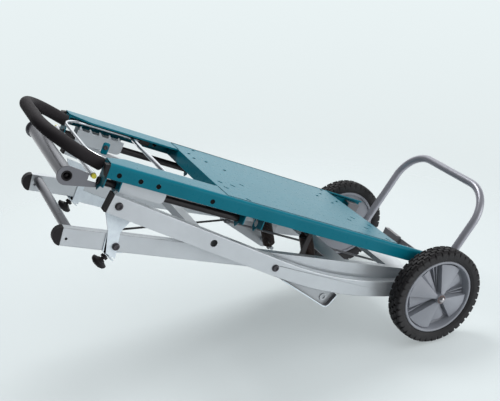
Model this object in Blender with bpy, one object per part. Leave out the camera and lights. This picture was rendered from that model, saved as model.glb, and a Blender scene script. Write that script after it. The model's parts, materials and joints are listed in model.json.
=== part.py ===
# Folding table saw stand, folded flat for wheeling.
# Metres, +Z up.  +X runs to the wheels and -Y is the near side.
# The middle of the plate's top face lies at the world origin.
import math
import bpy
import bmesh
from mathutils import Vector, Matrix

# table: x is measured from the left end of the rails, z from the table top
railLength = 1.087
railHalf = 0.2346
railDepth = 0.038
sheet = 0.002
railCorner = 0.010
flangeWidth = 0.0796
flangeTipWidth = 0.0466
chamferEnd = 0.060
creaseInset = 0.0126
fitGap = 0.0003
flangeInner = railHalf - flangeWidth
flangeTip = railHalf - flangeTipWidth
crease = railHalf - creaseInset
lipDrop = 0.005
footLip = 0.010
stepLength = 0.0007
plateLeft = 0.334
plateRight = 0.928
plateHalf = crease - fitGap
plateApron = 0.036
railHole = 0.0065
railHoleLevel = -0.024
railHoleOne = 0.029
railHoleTwo = 0.087
railHoleThree = 0.136
railHoleFour = 0.292
slotHalf = 0.0045
slotReach = 0.004
# places of the slots, as shares of the plate's length and of half its width
slotRowShares = {"a": 0.0505, "b": 0.1195, "c": 0.1987, "d": 0.8165, "e": 0.8805, "f": 0.9495}
slotOffShares = {"a": 0.28, "b": 0.451, "c": 0.6405, "d": 0.9247}
slotMarks = ("ab", "ac", "bb", "ca", "bd", "db", "ea", "ec", "fb", "fd")
capReach = 0.012
capWidth = 0.018
capInner = railHalf - capWidth
capTop = -0.004
capFoot = -0.036

# guide tubes and the brackets that hold them
guideInset = 0.0396
guideOff = railHalf - guideInset
guideLevel = -0.059
guideRadius = 0.010
guideBore = 0.0082
guideStart = -0.004
guideEnd = 0.404
bracketInnerReach = 0.012
bracketOuterReach = 0.021
bracketInner = guideOff - bracketInnerReach
bracketOuter = guideOff + bracketOuterReach
bracketTop = -0.0023
bracketTopLeft = -0.0053
bracketLipDrop = 0.0005
bracketSkirt = 0.0365
bracketStepReach = 0.0140
bracketStep = -0.0680
bracketShoulder = -0.0645
bracketTip = -0.083
bracketSheet = 0.003
bracketLeftStart = 0.0005
bracketLeftEnd = 0.045
bracketRightStart = 0.402
bracketRightEnd = 0.464
guideSlack = 0.0004

# handle
handleInset = 0.050
handleOff = railHalf - handleInset
handleReach = 0.1548
handleCorner = 0.1229
handleLevel = -0.0226
handleRiseShare = 0.233
handleSeat = 0.0033
foamSeat = 0.0045
handleStart = bracketLeftStart - handleSeat
foamStart = bracketLeftStart - foamSeat
handleRadius = 0.011
handleBore = 0.0093
foamRadius = 0.0165
foamBore = 0.0114

# rear frame with its cross tube
rearX = -0.078
rearZ = -0.070
rearRadius = 0.0195
rearBore = 0.0130
rearInset = 0.0446
rearHalf = railHalf - rearInset
armSheet = 0.004
armInner = rearHalf - armSheet
armRing = 0.025
armTopX = -0.0259
armTopZ = -0.050
armStepZ = -0.068
armTailX = bracketLeftStart - fitGap
armTailZ = -0.080
armNeckX = -0.026
plugRadius = 0.0127
plugDepth = 0.020
plugRecess = 0.0085
plugRecessDepth = 0.012
tieX = -0.0181
tieZ = -0.050
tieRadius = 0.0075
tieBore = 0.0060
tieReach = 0.006
tieHalf = rearHalf + tieReach
tiePlugLength = 0.008
tiePlugEnd = tieHalf + tiePlugLength
tiePlugRadius = 0.0066

# sliding bail with its latch bar
bailInset = 0.018
bailOff = rearHalf - bailInset
bailX = -0.028
bailZ = -0.012
bailRadius = 0.004
bailCorner = 0.080
bailEnd = 0.240
latchBarX = 0.190
latchBarRadius = 0.0045
latchHookStart = 0.215
latchHookEnd = 0.245
latchHookInnerReach = 0.008
latchHookOuterReach = 0.0095
latchHookInner = bailOff - latchHookInnerReach
latchHookOuter = bailOff + latchHookOuterReach
latchHookFoot = -0.021
latchHookChamfer = 0.006

# where the legs stand across the machine, from the rail inwards
legAWidth = 0.025
legSpacing = 0.0096
legBWidth = 0.020
legAOuter = railHalf
legAInner = legAOuter - legAWidth
legBOuter = legAInner - legSpacing
legBInner = legBOuter - legBWidth

# right hand end of the table
endPlateX = 1.038
endPlateSheet = 0.003
endPlateInner = 0.050
endPlateTop = -0.0125
endPlateFoot = -0.0355
endPlateHoleY = 0.086
endPlateHoleRadius = 0.0045
endPlateSlotY = 0.138
latchBlockInner = 0.027
latchBlockOuter = 0.095
latchBlockDepth = 0.018
latchBlockTop = -0.006
latchBlockFoot = -0.027
hingeX = 1.047
hingeZ = -0.098
lugClear = 0.0031
lugSheet = 0.004
lugOuter = legAInner - lugClear
lugInner = lugOuter - lugSheet
endPlateOuter = lugInner - fitGap
lugRadius = 0.013
lugHalf = 0.022
lugTop = -0.0125
lugSlack = 0.0004
lugFlangeOuter = railHalf - sheet - lugSlack
hingePin = 0.006
hingeHole = 0.0064
hingePinReach = 0.006
hingeHeadGap = 0.0008
hingePinInner = legBInner - hingePinReach
hingeHeadEnd = legBInner - hingeHeadGap
hingeHead = 0.010

# leg A, the outer pair, which carries the wheels
legADepth = 0.050
legAWall = 0.002
legAStartX = 0.0335
legAStartZ = -0.0966
legABendX = 0.582
legABendZ = -0.1591
legABendRadius = 1.110
legAEndX = 1.1011
legACapReach = 0.006
topPinX = 0.057
topPinZ = -0.098
boltShank = 0.007
boltHole = 0.0074
boltHead = 0.010
boltHeadHeight = 0.005
topBoltReach = 0.0071
topBoltNutReach = 0.0041
topBoltInner = legAInner - topBoltReach
topBoltNut = legAInner - topBoltNutReach
spareHoleX = 0.343
spareHoleZ = -0.131
spareHoleRadius = 0.010
pivotX = 0.552
pivotZ = -0.157
pivotShank = 0.008
pivotHole = 0.0084
pivotReach = 0.008
pivotInner = legBInner - pivotReach
pivotNut = legBInner - fitGap
pivotSpacer = 0.014
crossBarStart = 0.260
crossBarEnd = 0.305
crossBarTop = -0.101
crossBarFoot = -0.121
crossBarSlopeShare = 0.114
# leg A runs straight to its bend and then along an arc
legASlope = math.atan2(legABendZ - legAStartZ, legABendX - legAStartX)
legACentreX = legABendX - legABendRadius * math.sin(legASlope)
legACentreZ = legABendZ + legABendRadius * math.cos(legASlope)


def legAArc(x):
    return legACentreZ - math.sqrt(legABendRadius ** 2 - (x - legACentreX) ** 2)


axleX = 1.0856
axleDrop = 0.00367
axleZ = legAArc(axleX) - axleDrop
wheelReach = 0.0479
wheelOff = legAOuter + wheelReach
axleRadius = 0.008
axleHole = 0.0084
axleDome = 0.014
axleDomeReach = 0.029
axleDomeHeight = 0.005
axleDomeStart = wheelOff + axleDomeReach
axleDomeEnd = axleDomeStart + axleDomeHeight
loopInset = 0.0229
loopAhead = 0.0174
loopSink = 0.01633
loopOff = legAOuter - loopInset
loopBaseX = legAEndX + loopAhead
loopBaseZ = legAArc(legAEndX) - loopSink
loopTilt = math.radians(77.8)
loopLength = 0.344
loopCorner = 0.1026
loopRadius = 0.0125
loopBore = 0.0107

# gussets below leg A with the lower spring pins
gussetWall = 0.0027
gussetFlangeReach = 0.0124
gussetOuter = legAInner - fitGap
gussetInner = gussetOuter - gussetWall
gussetFlange = legAInner + gussetFlangeReach
gussetSheet = 0.0025
gussetTopZ = -0.160
gussetLeftX = 0.585
gussetLeftZ = -0.188
gussetTipX = 0.770
gussetTipZ = -0.2415
gussetRoundX = 0.781
gussetRoundZ = -0.237
gussetRightX = 0.797
gussetRightZ = -0.197
springLowX = 0.7610
springLowZ = -0.2160
springPin = 0.006
springPinReach = 0.050
springPinInner = legBInner - springPinReach
pinBoss = 0.011
pinBossHeight = 0.0032
pinBossEnd = gussetOuter + pinBossHeight
pinBossBore = 0.006

# springs
springHighX = 0.6545
springHighZ = -0.0590
springSeat = 0.020
springOff = springPinInner + springSeat
springRadius = 0.0178
springWire = 0.00225
springPitch = 0.005375
springCurls = 32
springPoints = 8

# leg B, the inner pair
legBDepth = 0.049
legBWall = 0.002
legBStartX = -0.040
legBStartZ = -0.2191
legBSlope = math.radians(6.5)
legBEndX = 1.0465
legBHole = 0.0035
legBHoleX = -0.027
legBHoleZ = -0.222
footCapReach = 0.022
footTubeX = -0.021
footTubeZ = -0.208
footTubeRadius = 0.0125
footTubeBore = 0.0107
anchorReach = 0.004
anchorInner = legBInner - anchorReach
anchorWidth = 0.014
anchorFootShare = 0.6
anchorTopZ = -0.050
crossPlateHalf = legBInner - fitGap
channelStart = 0.953
channelEnd = 1.030
channelDrop = 0.014
memberStart = 0.739
memberEnd = 0.800
memberDrop = 0.0055
crossSheet = 0.003

# foot brackets and levelling feet
cheekGap = 0.0005
cheekSheet = 0.003
cheekInner = legBOuter + cheekGap
cheekOuter = cheekInner + cheekSheet
cheekTopLeftX = 0.041
cheekTopLeftZ = -0.128
cheekTopRightX = 0.114
cheekTopRightZ = -0.138
cheekNeckRightX = 0.099
cheekNeckRightZ = -0.172
cheekFootRightX = 0.112
cheekFootRightZ = -0.2440
cheekFootLeftX = 0.072
cheekFootLeftZ = -0.2320
cheekNeckLeftX = 0.065
cheekNeckLeftZ = -0.174
barSheet = 0.0032
barInner = crossPlateHalf - barSheet
barEndNearX = 0.137
barEndFarX = 0.208
barTopX = 0.092
barTopZ = -0.202
barDrop = 0.026
waistTop = -0.168
waistEndX = 0.112
barFallShare = 0.09
footBoltX = 0.101
footBoltZ = -0.211
footBoltRadius = 0.009
footBoltHeight = 0.005
footBoltEnd = cheekOuter + footBoltHeight
footPlateX = 0.0925
footPlateZ = -0.2405
footPlateLeft = 0.012
footPlateRight = 0.020
footPlateSheet = 0.003
studAngle = math.radians(242)
studOff = (legBInner + legBOuter) / 2
studRadius = 0.005
studHole = 0.0054
studTop = 0.007
nutTop = -0.0033
nutFoot = -0.0105
nutRadius = 0.010
padTop = -0.0145
padNeck = 0.008
padRim = -0.022
padFoot = -0.036
padRadius = 0.022

# carriages that slide under the rails, with their hooks
carriageGap = 0.0006
carriageWidth = 0.033
carriageSheet = 0.003
carriageOuter = legAInner - carriageGap
carriageInner = carriageOuter - carriageWidth
carriageWebInner = carriageInner + carriageSheet
carriageWebOuter = carriageOuter - carriageSheet
carriageStart = 0.035
carriageSkirt = 0.048
carriageEnd = 0.177
carriageTop = -0.034
carriageFoot = -0.0735
carriageFloor = 0.0025
carriageRound = 0.014
hookCount = 5
hookStart = 0.0385
hookPitch = 0.0294
hookRise = 0.011
hookLean = 0.002
hookTip = 0.003
hookRun = 0.010
pinLugRadius = 0.0108

# rods between the legs
pullRodOff = -0.050
pullRodZ = -0.1155
pullRodStart = 0.462
pullRodEnd = 1.0856
pullRodRadius = 0.0034
knobRadius = 0.007
knobLength = 0.014
linkRadius = 0.003
linkLowX = 0.100
linkLowZ = -0.178
linkLowReach = 0.0037
linkLowOff = linkLowReach - barInner
linkHighX = 0.4440
linkHighZ = -0.1120
linkHighOff = -0.060

# wheels
wheelHalfWidth = 0.026
tyreRadius = 0.150
tyreShoulder = 0.141
tyreShoulderHalf = 0.024
tyreInner = 0.1166
tyreBeadHalf = 0.020
rimRadius = 0.1163
rimInner = 0.108
rimHalf = 0.0205
hubWebHalf = 0.004
hubBarrel = 0.020
hubBarrelIn = 0.024
hubBarrelOut = 0.0275
hubCone = 0.0100
vaneHalf = 0.0120
vaneRise = 0.0110
vaneInner = 0.026
vaneOuter = 0.1075
vaneSpread = math.radians(46)
vaneTurn = math.radians(83)
vaneCount = 4

# shares of a radius that shape the bolt heads, the pads and the tyre's section
headRimShare = 0.9
pivotHeadShare = 1.3
padRimShare = 0.8
padTipShare = 0.4
tyreCheekShare = 1.08
tyreSideShare = 0.94
treadFlatShare = 0.7

# colours, roughness and metal share of each finish
finishes = {
    "teal_paint": ((0.010, 0.155, 0.205), 0.42, 0.0),
    "grey_paint": ((0.47, 0.51, 0.53), 0.42, 0.25),
    "dark_paint": ((0.13, 0.13, 0.14), 0.55, 0.1),
    "zinc_plate": ((0.66, 0.76, 0.80), 0.35, 0.6),
    "bright_rod": ((0.70, 0.72, 0.74), 0.22, 1.0),
    "loop_metal": ((0.42, 0.43, 0.45), 0.32, 0.8),
    "black_rubber": ((0.022, 0.021, 0.023), 0.75, 0.0),
    "black_foam": ((0.035, 0.032, 0.034), 0.90, 0.0),
    "black_steel": ((0.030, 0.026, 0.026), 0.45, 0.4),
    "spring_steel": ((0.045, 0.026, 0.022), 0.50, 0.4),
    "yellow_plastic": ((0.80, 0.72, 0.05), 0.45, 0.0),
    "hub_plastic": ((0.24, 0.25, 0.27), 0.50, 0.0),
    "tyre_rubber": ((0.030, 0.030, 0.031), 0.85, 0.0),
    "plated_bolt": ((0.16, 0.15, 0.16), 0.40, 0.8),
}

for old in list(bpy.data.objects):
    bpy.data.objects.remove(old, do_unlink=True)

sides = (("near", -1), ("far", 1))
spots = {}


def pivotEmpty(name, spot, parent=None):
    empty = bpy.data.objects.new(name, None)
    bpy.context.scene.collection.objects.link(empty)
    spots[name] = Vector(spot)
    if parent is not None:
        empty.parent = parent
        empty.location = Vector(spot) - spots[parent.name]
    return empty


def finishMaterial(name):
    material = bpy.data.materials.get(name)
    if material is None:
        material = bpy.data.materials.new(name)
        material.use_nodes = True
        colour, rough, metal = finishes[name]
        shader = material.node_tree.nodes["Principled BSDF"]
        shader.inputs["Base Color"].default_value = (*colour, 1.0)
        shader.inputs["Roughness"].default_value = rough
        shader.inputs["Metallic"].default_value = metal
        material.diffuse_color = (*colour, 1.0)
    return material


def tidy(bm):
    bmesh.ops.remove_doubles(bm, verts=bm.verts[:], dist=0.00001)
    bmesh.ops.dissolve_degenerate(bm, edges=bm.edges[:], dist=0.00001)
    bmesh.ops.recalc_face_normals(bm, faces=bm.faces[:])


def makeObject(name, bm, finish, parent, origin=None):
    tidy(bm)
    mesh = bpy.data.meshes.new(name)
    bm.to_mesh(mesh)
    bm.free()
    spot = spots[parent.name] if origin is None else Vector(origin)
    mesh.transform(Matrix.Translation(-spot))
    obj = bpy.data.objects.new(name, mesh)
    bpy.context.scene.collection.objects.link(obj)
    obj.parent = parent
    obj.location = spot - spots[parent.name]
    obj.data.materials.append(finishMaterial(finish))
    return obj


# joins a second shape to the object, or cuts it away, in the object's own frame
def combine(obj, bm, operation):
    mesh = bpy.data.meshes.new("tool")
    tidy(bm)
    bm.to_mesh(mesh)
    bm.free()
    tool = bpy.data.objects.new("tool", mesh)
    bpy.context.scene.collection.objects.link(tool)
    tool.parent = obj.parent
    tool.location = -spots[obj.parent.name]
    modifier = obj.modifiers.new("combine", "BOOLEAN")
    modifier.solver = "EXACT"
    modifier.operation = operation
    modifier.object = tool
    bpy.context.view_layer.update()
    evaluated = obj.evaluated_get(bpy.context.evaluated_depsgraph_get())
    result = bpy.data.meshes.new_from_object(evaluated)
    obj.modifiers.clear()
    before = obj.data
    obj.data = result
    result.name = obj.name
    bpy.data.meshes.remove(before)
    bpy.data.objects.remove(tool, do_unlink=True)
    bpy.data.meshes.remove(mesh)
    clean = bmesh.new()
    clean.from_mesh(obj.data)
    tidy(clean)
    clean.to_mesh(obj.data)
    clean.free()


def spotOn(plane, a, b, c):
    if plane == "xz":
        return Vector((a, c, b))
    if plane == "yz":
        return Vector((c, a, b))
    return Vector((a, b, c))


# plate with straight walls: the first loop is its outline, the others are holes
def slab(loops, plane, start, end):
    bm = bmesh.new()
    low = []
    high = []
    edges = []
    partner = {}
    for loop in loops:
        first = [bm.verts.new(spotOn(plane, a, b, start)) for a, b in loop]
        second = [bm.verts.new(spotOn(plane, a, b, end)) for a, b in loop]
        low.append(first)
        high.append(second)
        partner.update(zip(first, second))
        for one, two in zip(first, first[1:] + first[:1]):
            edges.append(bm.edges.new((one, two)))
    bmesh.ops.triangle_fill(bm, use_beauty=True, use_dissolve=False, edges=edges)
    for face in bm.faces[:]:
        bm.faces.new([partner[v] for v in reversed(face.verts[:])])
    for first, second in zip(low, high):
        count = len(first)
        for i in range(count):
            j = (i + 1) % count
            bm.faces.new((first[i], first[j], second[j], second[i]))
    return bm


def circle(radius, count, u=0.0, v=0.0, turn=0.0):
    step = math.tau / count
    return [(u + radius * math.cos(turn + i * step), v + radius * math.sin(turn + i * step))
            for i in range(count)]


def box(xs, ys, zs):
    outline = [(xs[0], zs[0]), (xs[1], zs[0]), (xs[1], zs[1]), (xs[0], zs[1])]
    return slab([outline], "xz", ys[0], ys[1])


# runs a section along a path; a second section of as many points leaves a bore
def sweep(path, section, bore=None, sideways=None):
    points = [Vector(p) for p in path]
    bm = bmesh.new()
    outer = []
    inner = []
    across = sideways
    for i, point in enumerate(points):
        ahead = points[min(i + 1, len(points) - 1)]
        behind = points[max(i - 1, 0)]
        along = (ahead - behind).normalized()
        if across is None:
            across = along.orthogonal().normalized()
        across = (across - along * across.dot(along)).normalized()
        up = along.cross(across)
        outer.append([bm.verts.new(point + across * u + up * v) for u, v in section])
        if bore:
            inner.append([bm.verts.new(point + across * u + up * v) for u, v in bore])
    count = len(section)
    for rings in (outer, inner):
        for first, second in zip(rings, rings[1:]):
            for i in range(count):
                j = (i + 1) % count
                bm.faces.new((first[i], first[j], second[j], second[i]))
    for end in (0, -1):
        if not bore:
            bm.faces.new(outer[end])
            continue
        for i in range(count):
            j = (i + 1) % count
            bm.faces.new((outer[end][i], outer[end][j], inner[end][j], inner[end][i]))
    return bm


def rod(start, end, radius, count=12, bore=None):
    inner = circle(bore, count) if bore else None
    return sweep([start, end], circle(radius, count), inner)


# turned piece: the profile holds (distance along the axis, radius)
def turned(profile, centre, count=24, along=(0.0, 1.0, 0.0), closed=False):
    axis = Vector(along).normalized()
    u = axis.orthogonal().normalized()
    v = axis.cross(u)
    middle = Vector(centre)
    bm = bmesh.new()
    rings = []
    for distance, radius in profile:
        spot = middle + axis * distance
        if radius == 0.0:
            rings.append([bm.verts.new(spot)])
            continue
        rings.append([bm.verts.new(spot + u * a + v * b) for a, b in circle(radius, count)])
    pairs = list(zip(rings, rings[1:]))
    if closed:
        pairs.append((rings[-1], rings[0]))
    for first, second in pairs:
        for i in range(count):
            j = (i + 1) % count
            if len(first) == 1:
                bm.faces.new((first[0], second[j], second[i]))
            elif len(second) == 1:
                bm.faces.new((first[i], first[j], second[0]))
            else:
                bm.faces.new((first[i], first[j], second[j], second[i]))
    return bm


def merged(parts):
    whole = bmesh.new()
    for part in parts:
        mesh = bpy.data.meshes.new("piece")
        part.to_mesh(mesh)
        whole.from_mesh(mesh)
        bpy.data.meshes.remove(mesh)
        part.free()
    return whole


def makeRail(tag, side):
    stations = [(0.0, flangeTip), (chamferEnd, flangeInner),
                (plateLeft - fitGap - stepLength, flangeInner),
                (plateLeft - fitGap, crease), (railLength, crease)]
    steps = 5
    bm = bmesh.new()
    rings = []
    for x, edge in stations:
        outline = [(railHalf, -railDepth)]
        for i in range(steps + 1):
            turn = math.pi / 2 * i / steps
            outline.append((railHalf - railCorner + railCorner * math.cos(turn),
                            -railCorner + railCorner * math.sin(turn)))
        outline += [(edge, 0.0), (edge, -lipDrop), (edge + sheet, -lipDrop), (edge + sheet, -sheet)]
        inside = railCorner - sheet
        for i in range(steps, -1, -1):
            turn = math.pi / 2 * i / steps
            outline.append((railHalf - railCorner + inside * math.cos(turn),
                            -railCorner + inside * math.sin(turn)))
        outline += [(railHalf - sheet, sheet - railDepth),
                    (railHalf - footLip, sheet - railDepth), (railHalf - footLip, -railDepth)]
        rings.append([bm.verts.new((x, side * y, z)) for y, z in outline])
    for first, second in zip(rings, rings[1:]):
        for i in range(len(first)):
            j = (i + 1) % len(first)
            bm.faces.new((first[i], first[j], second[j], second[i]))
    bm.faces.new(rings[0])
    bm.faces.new(rings[-1])
    rail = makeObject("rail_" + tag, bm, "teal_paint", datum)
    holes = [rod((x, side * (railHalf - railCorner), railHoleLevel),
                 (x, side * (railHalf + railCorner), railHoleLevel), railHole, 14)
             for x in (railHoleOne, railHoleTwo, railHoleThree, railHoleFour)]
    combine(rail, merged(holes), "DIFFERENCE")
    outline = [(-capReach, capTop - sheet), (-fitGap, capTop), (-fitGap, capFoot),
               (-capReach / 4, capFoot), (-capReach, capTop - 3 * sheet)]
    cap = slab([outline], "xz", side * capInner, side * (railHalf - fitGap))
    makeObject("rail_cap_" + tag, cap, "black_rubber", datum)


def slotLoop(x, y, turn):
    loop = []
    for i in range(8):
        angle = math.tau * (i + 0.5) / 8
        reach = slotReach if math.cos(angle) > 0 else -slotReach
        u = reach + slotHalf * math.cos(angle)
        v = slotHalf * math.sin(angle)
        loop.append((x + u * math.cos(turn) - v * math.sin(turn),
                     y + u * math.sin(turn) + v * math.cos(turn)))
    return loop


def makePlate():
    outline = [(plateLeft, -plateHalf), (plateRight, -plateHalf),
               (plateRight, plateHalf), (plateLeft, plateHalf)]
    loops = [outline]
    for row, off in slotMarks:
        x = plateLeft + (plateRight - plateLeft) * slotRowShares[row]
        y = plateHalf * slotOffShares[off]
        for side in (-1, 1):
            loops.append(slotLoop(x, side * y, side * math.pi / 4))
    plate = makeObject("table_plate", slab(loops, "xy", -sheet, 0.0), "teal_paint", datum)
    apron = box((plateLeft, plateLeft + sheet), (-plateHalf, plateHalf), (-plateApron, -sheet / 2))
    combine(plate, apron, "UNION")
    edge = box((plateRight - sheet, plateRight), (-plateHalf, plateHalf), (-footLip, -sheet / 2))
    combine(plate, edge, "UNION")


def makeGuideBracket(name, side, start, end, top):
    foot = 2 * bracketTip
    outline = [(start, top), (start, foot), (start + bracketSheet, foot),
               (start + bracketSheet, top - bracketSheet),
               (end - bracketSheet, top - bracketSheet),
               (end - bracketSheet, foot), (end, foot), (end, top)]
    body = slab([outline], "xz", side * bracketInner, side * (guideOff + bracketSkirt))
    obj = makeObject(name, body, "teal_paint", datum)
    skirtTop = -railDepth - bracketLipDrop
    skirtOff = guideOff + bracketSkirt
    face = [(side * bracketInner, 0.0), (side * bracketOuter, 0.0), (side * bracketOuter, skirtTop),
            (side * skirtOff, skirtTop), (side * skirtOff, bracketShoulder),
            (side * (guideOff + bracketStepReach), bracketStep), (side * guideOff, bracketTip),
            (side * bracketInner, (bracketShoulder + bracketTip) / 2)]
    shape = slab([face], "yz", start - bracketSheet, end + bracketSheet)
    combine(obj, shape, "INTERSECT")
    hole = rod((start - bracketSheet, side * guideOff, guideLevel),
               (end + bracketSheet, side * guideOff, guideLevel), guideRadius + guideSlack, 20)
    combine(obj, hole, "DIFFERENCE")


def makeGuides(tag, side):
    tube = rod((guideStart, side * guideOff, guideLevel), (guideEnd, side * guideOff, guideLevel),
               guideRadius, 20, guideBore)
    makeObject("guide_tube_" + tag, tube, "black_steel", datum)
    makeGuideBracket("guide_bracket_left_" + tag, side, bracketLeftStart, bracketLeftEnd, bracketTopLeft)
    makeGuideBracket("guide_bracket_right_" + tag, side, bracketRightStart, bracketRightEnd, bracketTop)


def handlePath(start):
    flat = [(start, -handleOff)]
    steps = 9
    for i in range(steps + 1):
        turn = math.pi / 2 * i / steps
        flat.append((-handleReach + handleCorner - handleCorner * math.sin(turn),
                     -handleOff + handleCorner - handleCorner * math.cos(turn)))
    flat += [(x, -y) for x, y in reversed(flat)]
    return [(x, y, handleLevel - handleRiseShare * x) for x, y in flat]


def makeHandle():
    tube = sweep(handlePath(handleStart), circle(handleRadius, 10), circle(handleBore, 10))
    makeObject("handle_tube", tube, "loop_metal", datum)
    foam = sweep(handlePath(foamStart), circle(foamRadius, 14), circle(foamBore, 14))
    makeObject("handle_foam", foam, "black_foam", datum)


def makeRearFrame():
    tube = rod((rearX, -rearHalf, rearZ), (rearX, rearHalf, rearZ), rearRadius, 20, rearBore)
    frame = makeObject("rear_frame", tube, "grey_paint", datum)
    for tag, side in sides:
        outline = []
        for i in range(13):
            turn = math.radians(80) + math.radians(190) * i / 12
            outline.append((rearX + armRing * math.cos(turn), rearZ + armRing * math.sin(turn)))
        outline += [(armNeckX, armTailZ + (rearZ - armRing - armTailZ) / 3), (armTailX, armTailZ),
                    (armTailX, armStepZ), (armNeckX, armStepZ), (armTopX, armTopZ)]
        hole = circle((rearRadius + rearBore) / 2, 20, rearX, rearZ)
        arm = slab([outline, hole], "xz", side * armInner, side * rearHalf)
        combine(frame, arm, "UNION")
        start = rearHalf - plugDepth
        profile = [(start, 0.0), (start, plugRadius), (rearHalf, plugRadius),
                   (rearHalf, plugRecess), (rearHalf - plugRecessDepth, plugRecess),
                   (rearHalf - plugRecessDepth, 0.0)]
        plug = turned([(side * y, r) for y, r in profile], (rearX, 0.0, rearZ), 20)
        makeObject("rear_plug_" + tag, plug, "black_rubber", datum)
        stopper = rod((tieX, side * (tieHalf + fitGap), tieZ), (tieX, side * tiePlugEnd, tieZ),
                      tiePlugRadius, 12)
        makeObject("tie_plug_" + tag, stopper, "yellow_plastic", datum)
    tie = rod((tieX, -tieHalf, tieZ), (tieX, tieHalf, tieZ), tieRadius, 12, tieBore)
    makeObject("tie_tube", tie, "bright_rod", datum)


def makeBail():
    flat = [(bailEnd, -bailOff)]
    steps = 8
    for i in range(steps + 1):
        turn = math.pi / 2 * i / steps
        flat.append((bailX + bailCorner - bailCorner * math.sin(turn),
                     -bailOff + bailCorner - bailCorner * math.cos(turn)))
    flat += [(x, -y) for x, y in reversed(flat)]
    path = [(x, y, bailZ) for x, y in flat]
    bail = makeObject("release_bail", sweep(path, circle(bailRadius, 12)), "bright_rod", bailPivot)
    bar = rod((latchBarX, -bailOff, bailZ), (latchBarX, bailOff, bailZ), latchBarRadius, 12)
    combine(bail, bar, "UNION")
    for tag, side in sides:
        top = bracketTop
        outline = [(side * latchHookInner, top), (side * latchHookOuter, top),
                   (side * latchHookOuter, latchHookFoot),
                   (side * (latchHookInner + latchHookChamfer), latchHookFoot),
                   (side * latchHookInner, latchHookFoot + latchHookChamfer)]
        hole = circle(bailRadius + guideSlack, 12, side * bailOff, bailZ)
        block = slab([outline, hole], "yz", latchHookStart, latchHookEnd)
        makeObject("latch_guide_" + tag, block, "black_steel", datum)


def makeTableEnd():
    outline = [(-endPlateInner, endPlateTop), (-endPlateOuter, endPlateTop),
               (-endPlateOuter, endPlateFoot), (-endPlateInner, endPlateFoot)]
    middle = (endPlateTop + endPlateFoot) / 2
    hole = circle(endPlateHoleRadius, 12, -endPlateHoleY, middle)
    slot = circle(endPlateHoleRadius, 12, -endPlateSlotY, middle)
    plate = slab([outline, hole, slot], "yz", endPlateX, endPlateX + endPlateSheet)
    makeObject("end_plate", plate, "dark_paint", datum)
    face = [(-latchBlockInner, latchBlockTop), (-latchBlockOuter, latchBlockTop - sheet),
            (-latchBlockOuter, latchBlockFoot), (-latchBlockInner, latchBlockFoot - sheet)]
    block = slab([face], "yz", endPlateX - fitGap - latchBlockDepth, endPlateX - fitGap)
    makeObject("latch_block", block, "black_steel", datum)
    for tag, side in sides:
        outline = [(hingeX + lugHalf, lugTop)]
        outline += [(hingeX + lugRadius * math.cos(-math.pi * i / 8),
                     hingeZ + lugRadius * math.sin(-math.pi * i / 8)) for i in range(9)]
        outline += [(hingeX - lugHalf, lugTop)]
        lug = slab([outline], "xz", side * lugInner, side * lugOuter)
        obj = makeObject("hinge_lug_" + tag, lug, "dark_paint", datum)
        top = box((hingeX - lugHalf, hingeX + lugHalf), (side * lugInner, side * lugFlangeOuter),
                  (lugTop - endPlateSheet, lugTop))
        combine(obj, top, "UNION")
        profile = [(hingePinInner, 0.0), (hingePinInner, hingeHead), (hingeHeadEnd, hingeHead),
                   (hingeHeadEnd, hingePin), (lugInner + sheet / 2, hingePin),
                   (lugInner + sheet / 2, 0.0)]
        pin = turned([(side * y, r) for y, r in profile], (hingeX, 0.0, hingeZ), 16)
        combine(obj, pin, "UNION")


def hookOutline():
    points = [(carriageStart, carriageTop)]
    for i in range(hookCount):
        x = hookStart + i * hookPitch
        points += [(x, carriageTop), (x - hookLean, carriageTop + hookRise - hookLean),
                   (x, carriageTop + hookRise), (x + hookTip, carriageTop + hookRise - hookLean),
                   (x + hookRun, carriageTop)]
    points += [(carriageEnd, carriageTop)]
    for i in range(5):
        turn = -math.pi / 2 * i / 4
        points.append((carriageEnd - carriageRound + carriageRound * math.cos(turn),
                       carriageFoot + carriageRound + carriageRound * math.sin(turn)))
    points += [(carriageStart, carriageFoot)]
    return points


def makeCarriage(tag, side, parent):
    inner = slab([hookOutline()], "xz", side * carriageInner, side * carriageWebInner)
    obj = makeObject("carriage_" + tag, inner, "grey_paint", parent)
    floor = box((carriageSkirt, carriageEnd - carriageRound), (side * carriageInner, side * carriageOuter),
                (carriageFoot, carriageFoot + carriageFloor))
    combine(obj, floor, "UNION")
    outline = [(carriageSkirt, carriageTop), (carriageEnd, carriageTop)]
    for i in range(5):
        turn = -math.pi / 2 * i / 4
        outline.append((carriageEnd - carriageRound + carriageRound * math.cos(turn),
                        carriageFoot + carriageRound + carriageRound * math.sin(turn)))
    outline += [(topPinX + pinLugRadius, carriageFoot)]
    outline += [(topPinX + pinLugRadius * math.cos(-math.pi * i / 8),
                 topPinZ + pinLugRadius * math.sin(-math.pi * i / 8)) for i in range(9)]
    outline += [(carriageSkirt, carriageFoot)]
    hole = circle(boltHole, 16, topPinX, topPinZ)
    outer = slab([outline, hole], "xz", side * carriageWebOuter, side * carriageOuter)
    combine(obj, outer, "UNION")


def legAPath():
    path = [(legAStartX, legAStartZ), (legABendX, legABendZ)]
    last = math.asin((legAEndX - legACentreX) / legABendRadius)
    steps = 10
    for i in range(1, steps + 1):
        turn = legASlope + (last - legASlope) * i / steps
        path.append((legACentreX + legABendRadius * math.sin(turn),
                     legACentreZ - legABendRadius * math.cos(turn)))
    return path


def rectangle(width, depth):
    half = width / 2
    rise = depth / 2
    return [(-half, -rise), (half, -rise), (half, rise), (-half, rise)]


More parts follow.
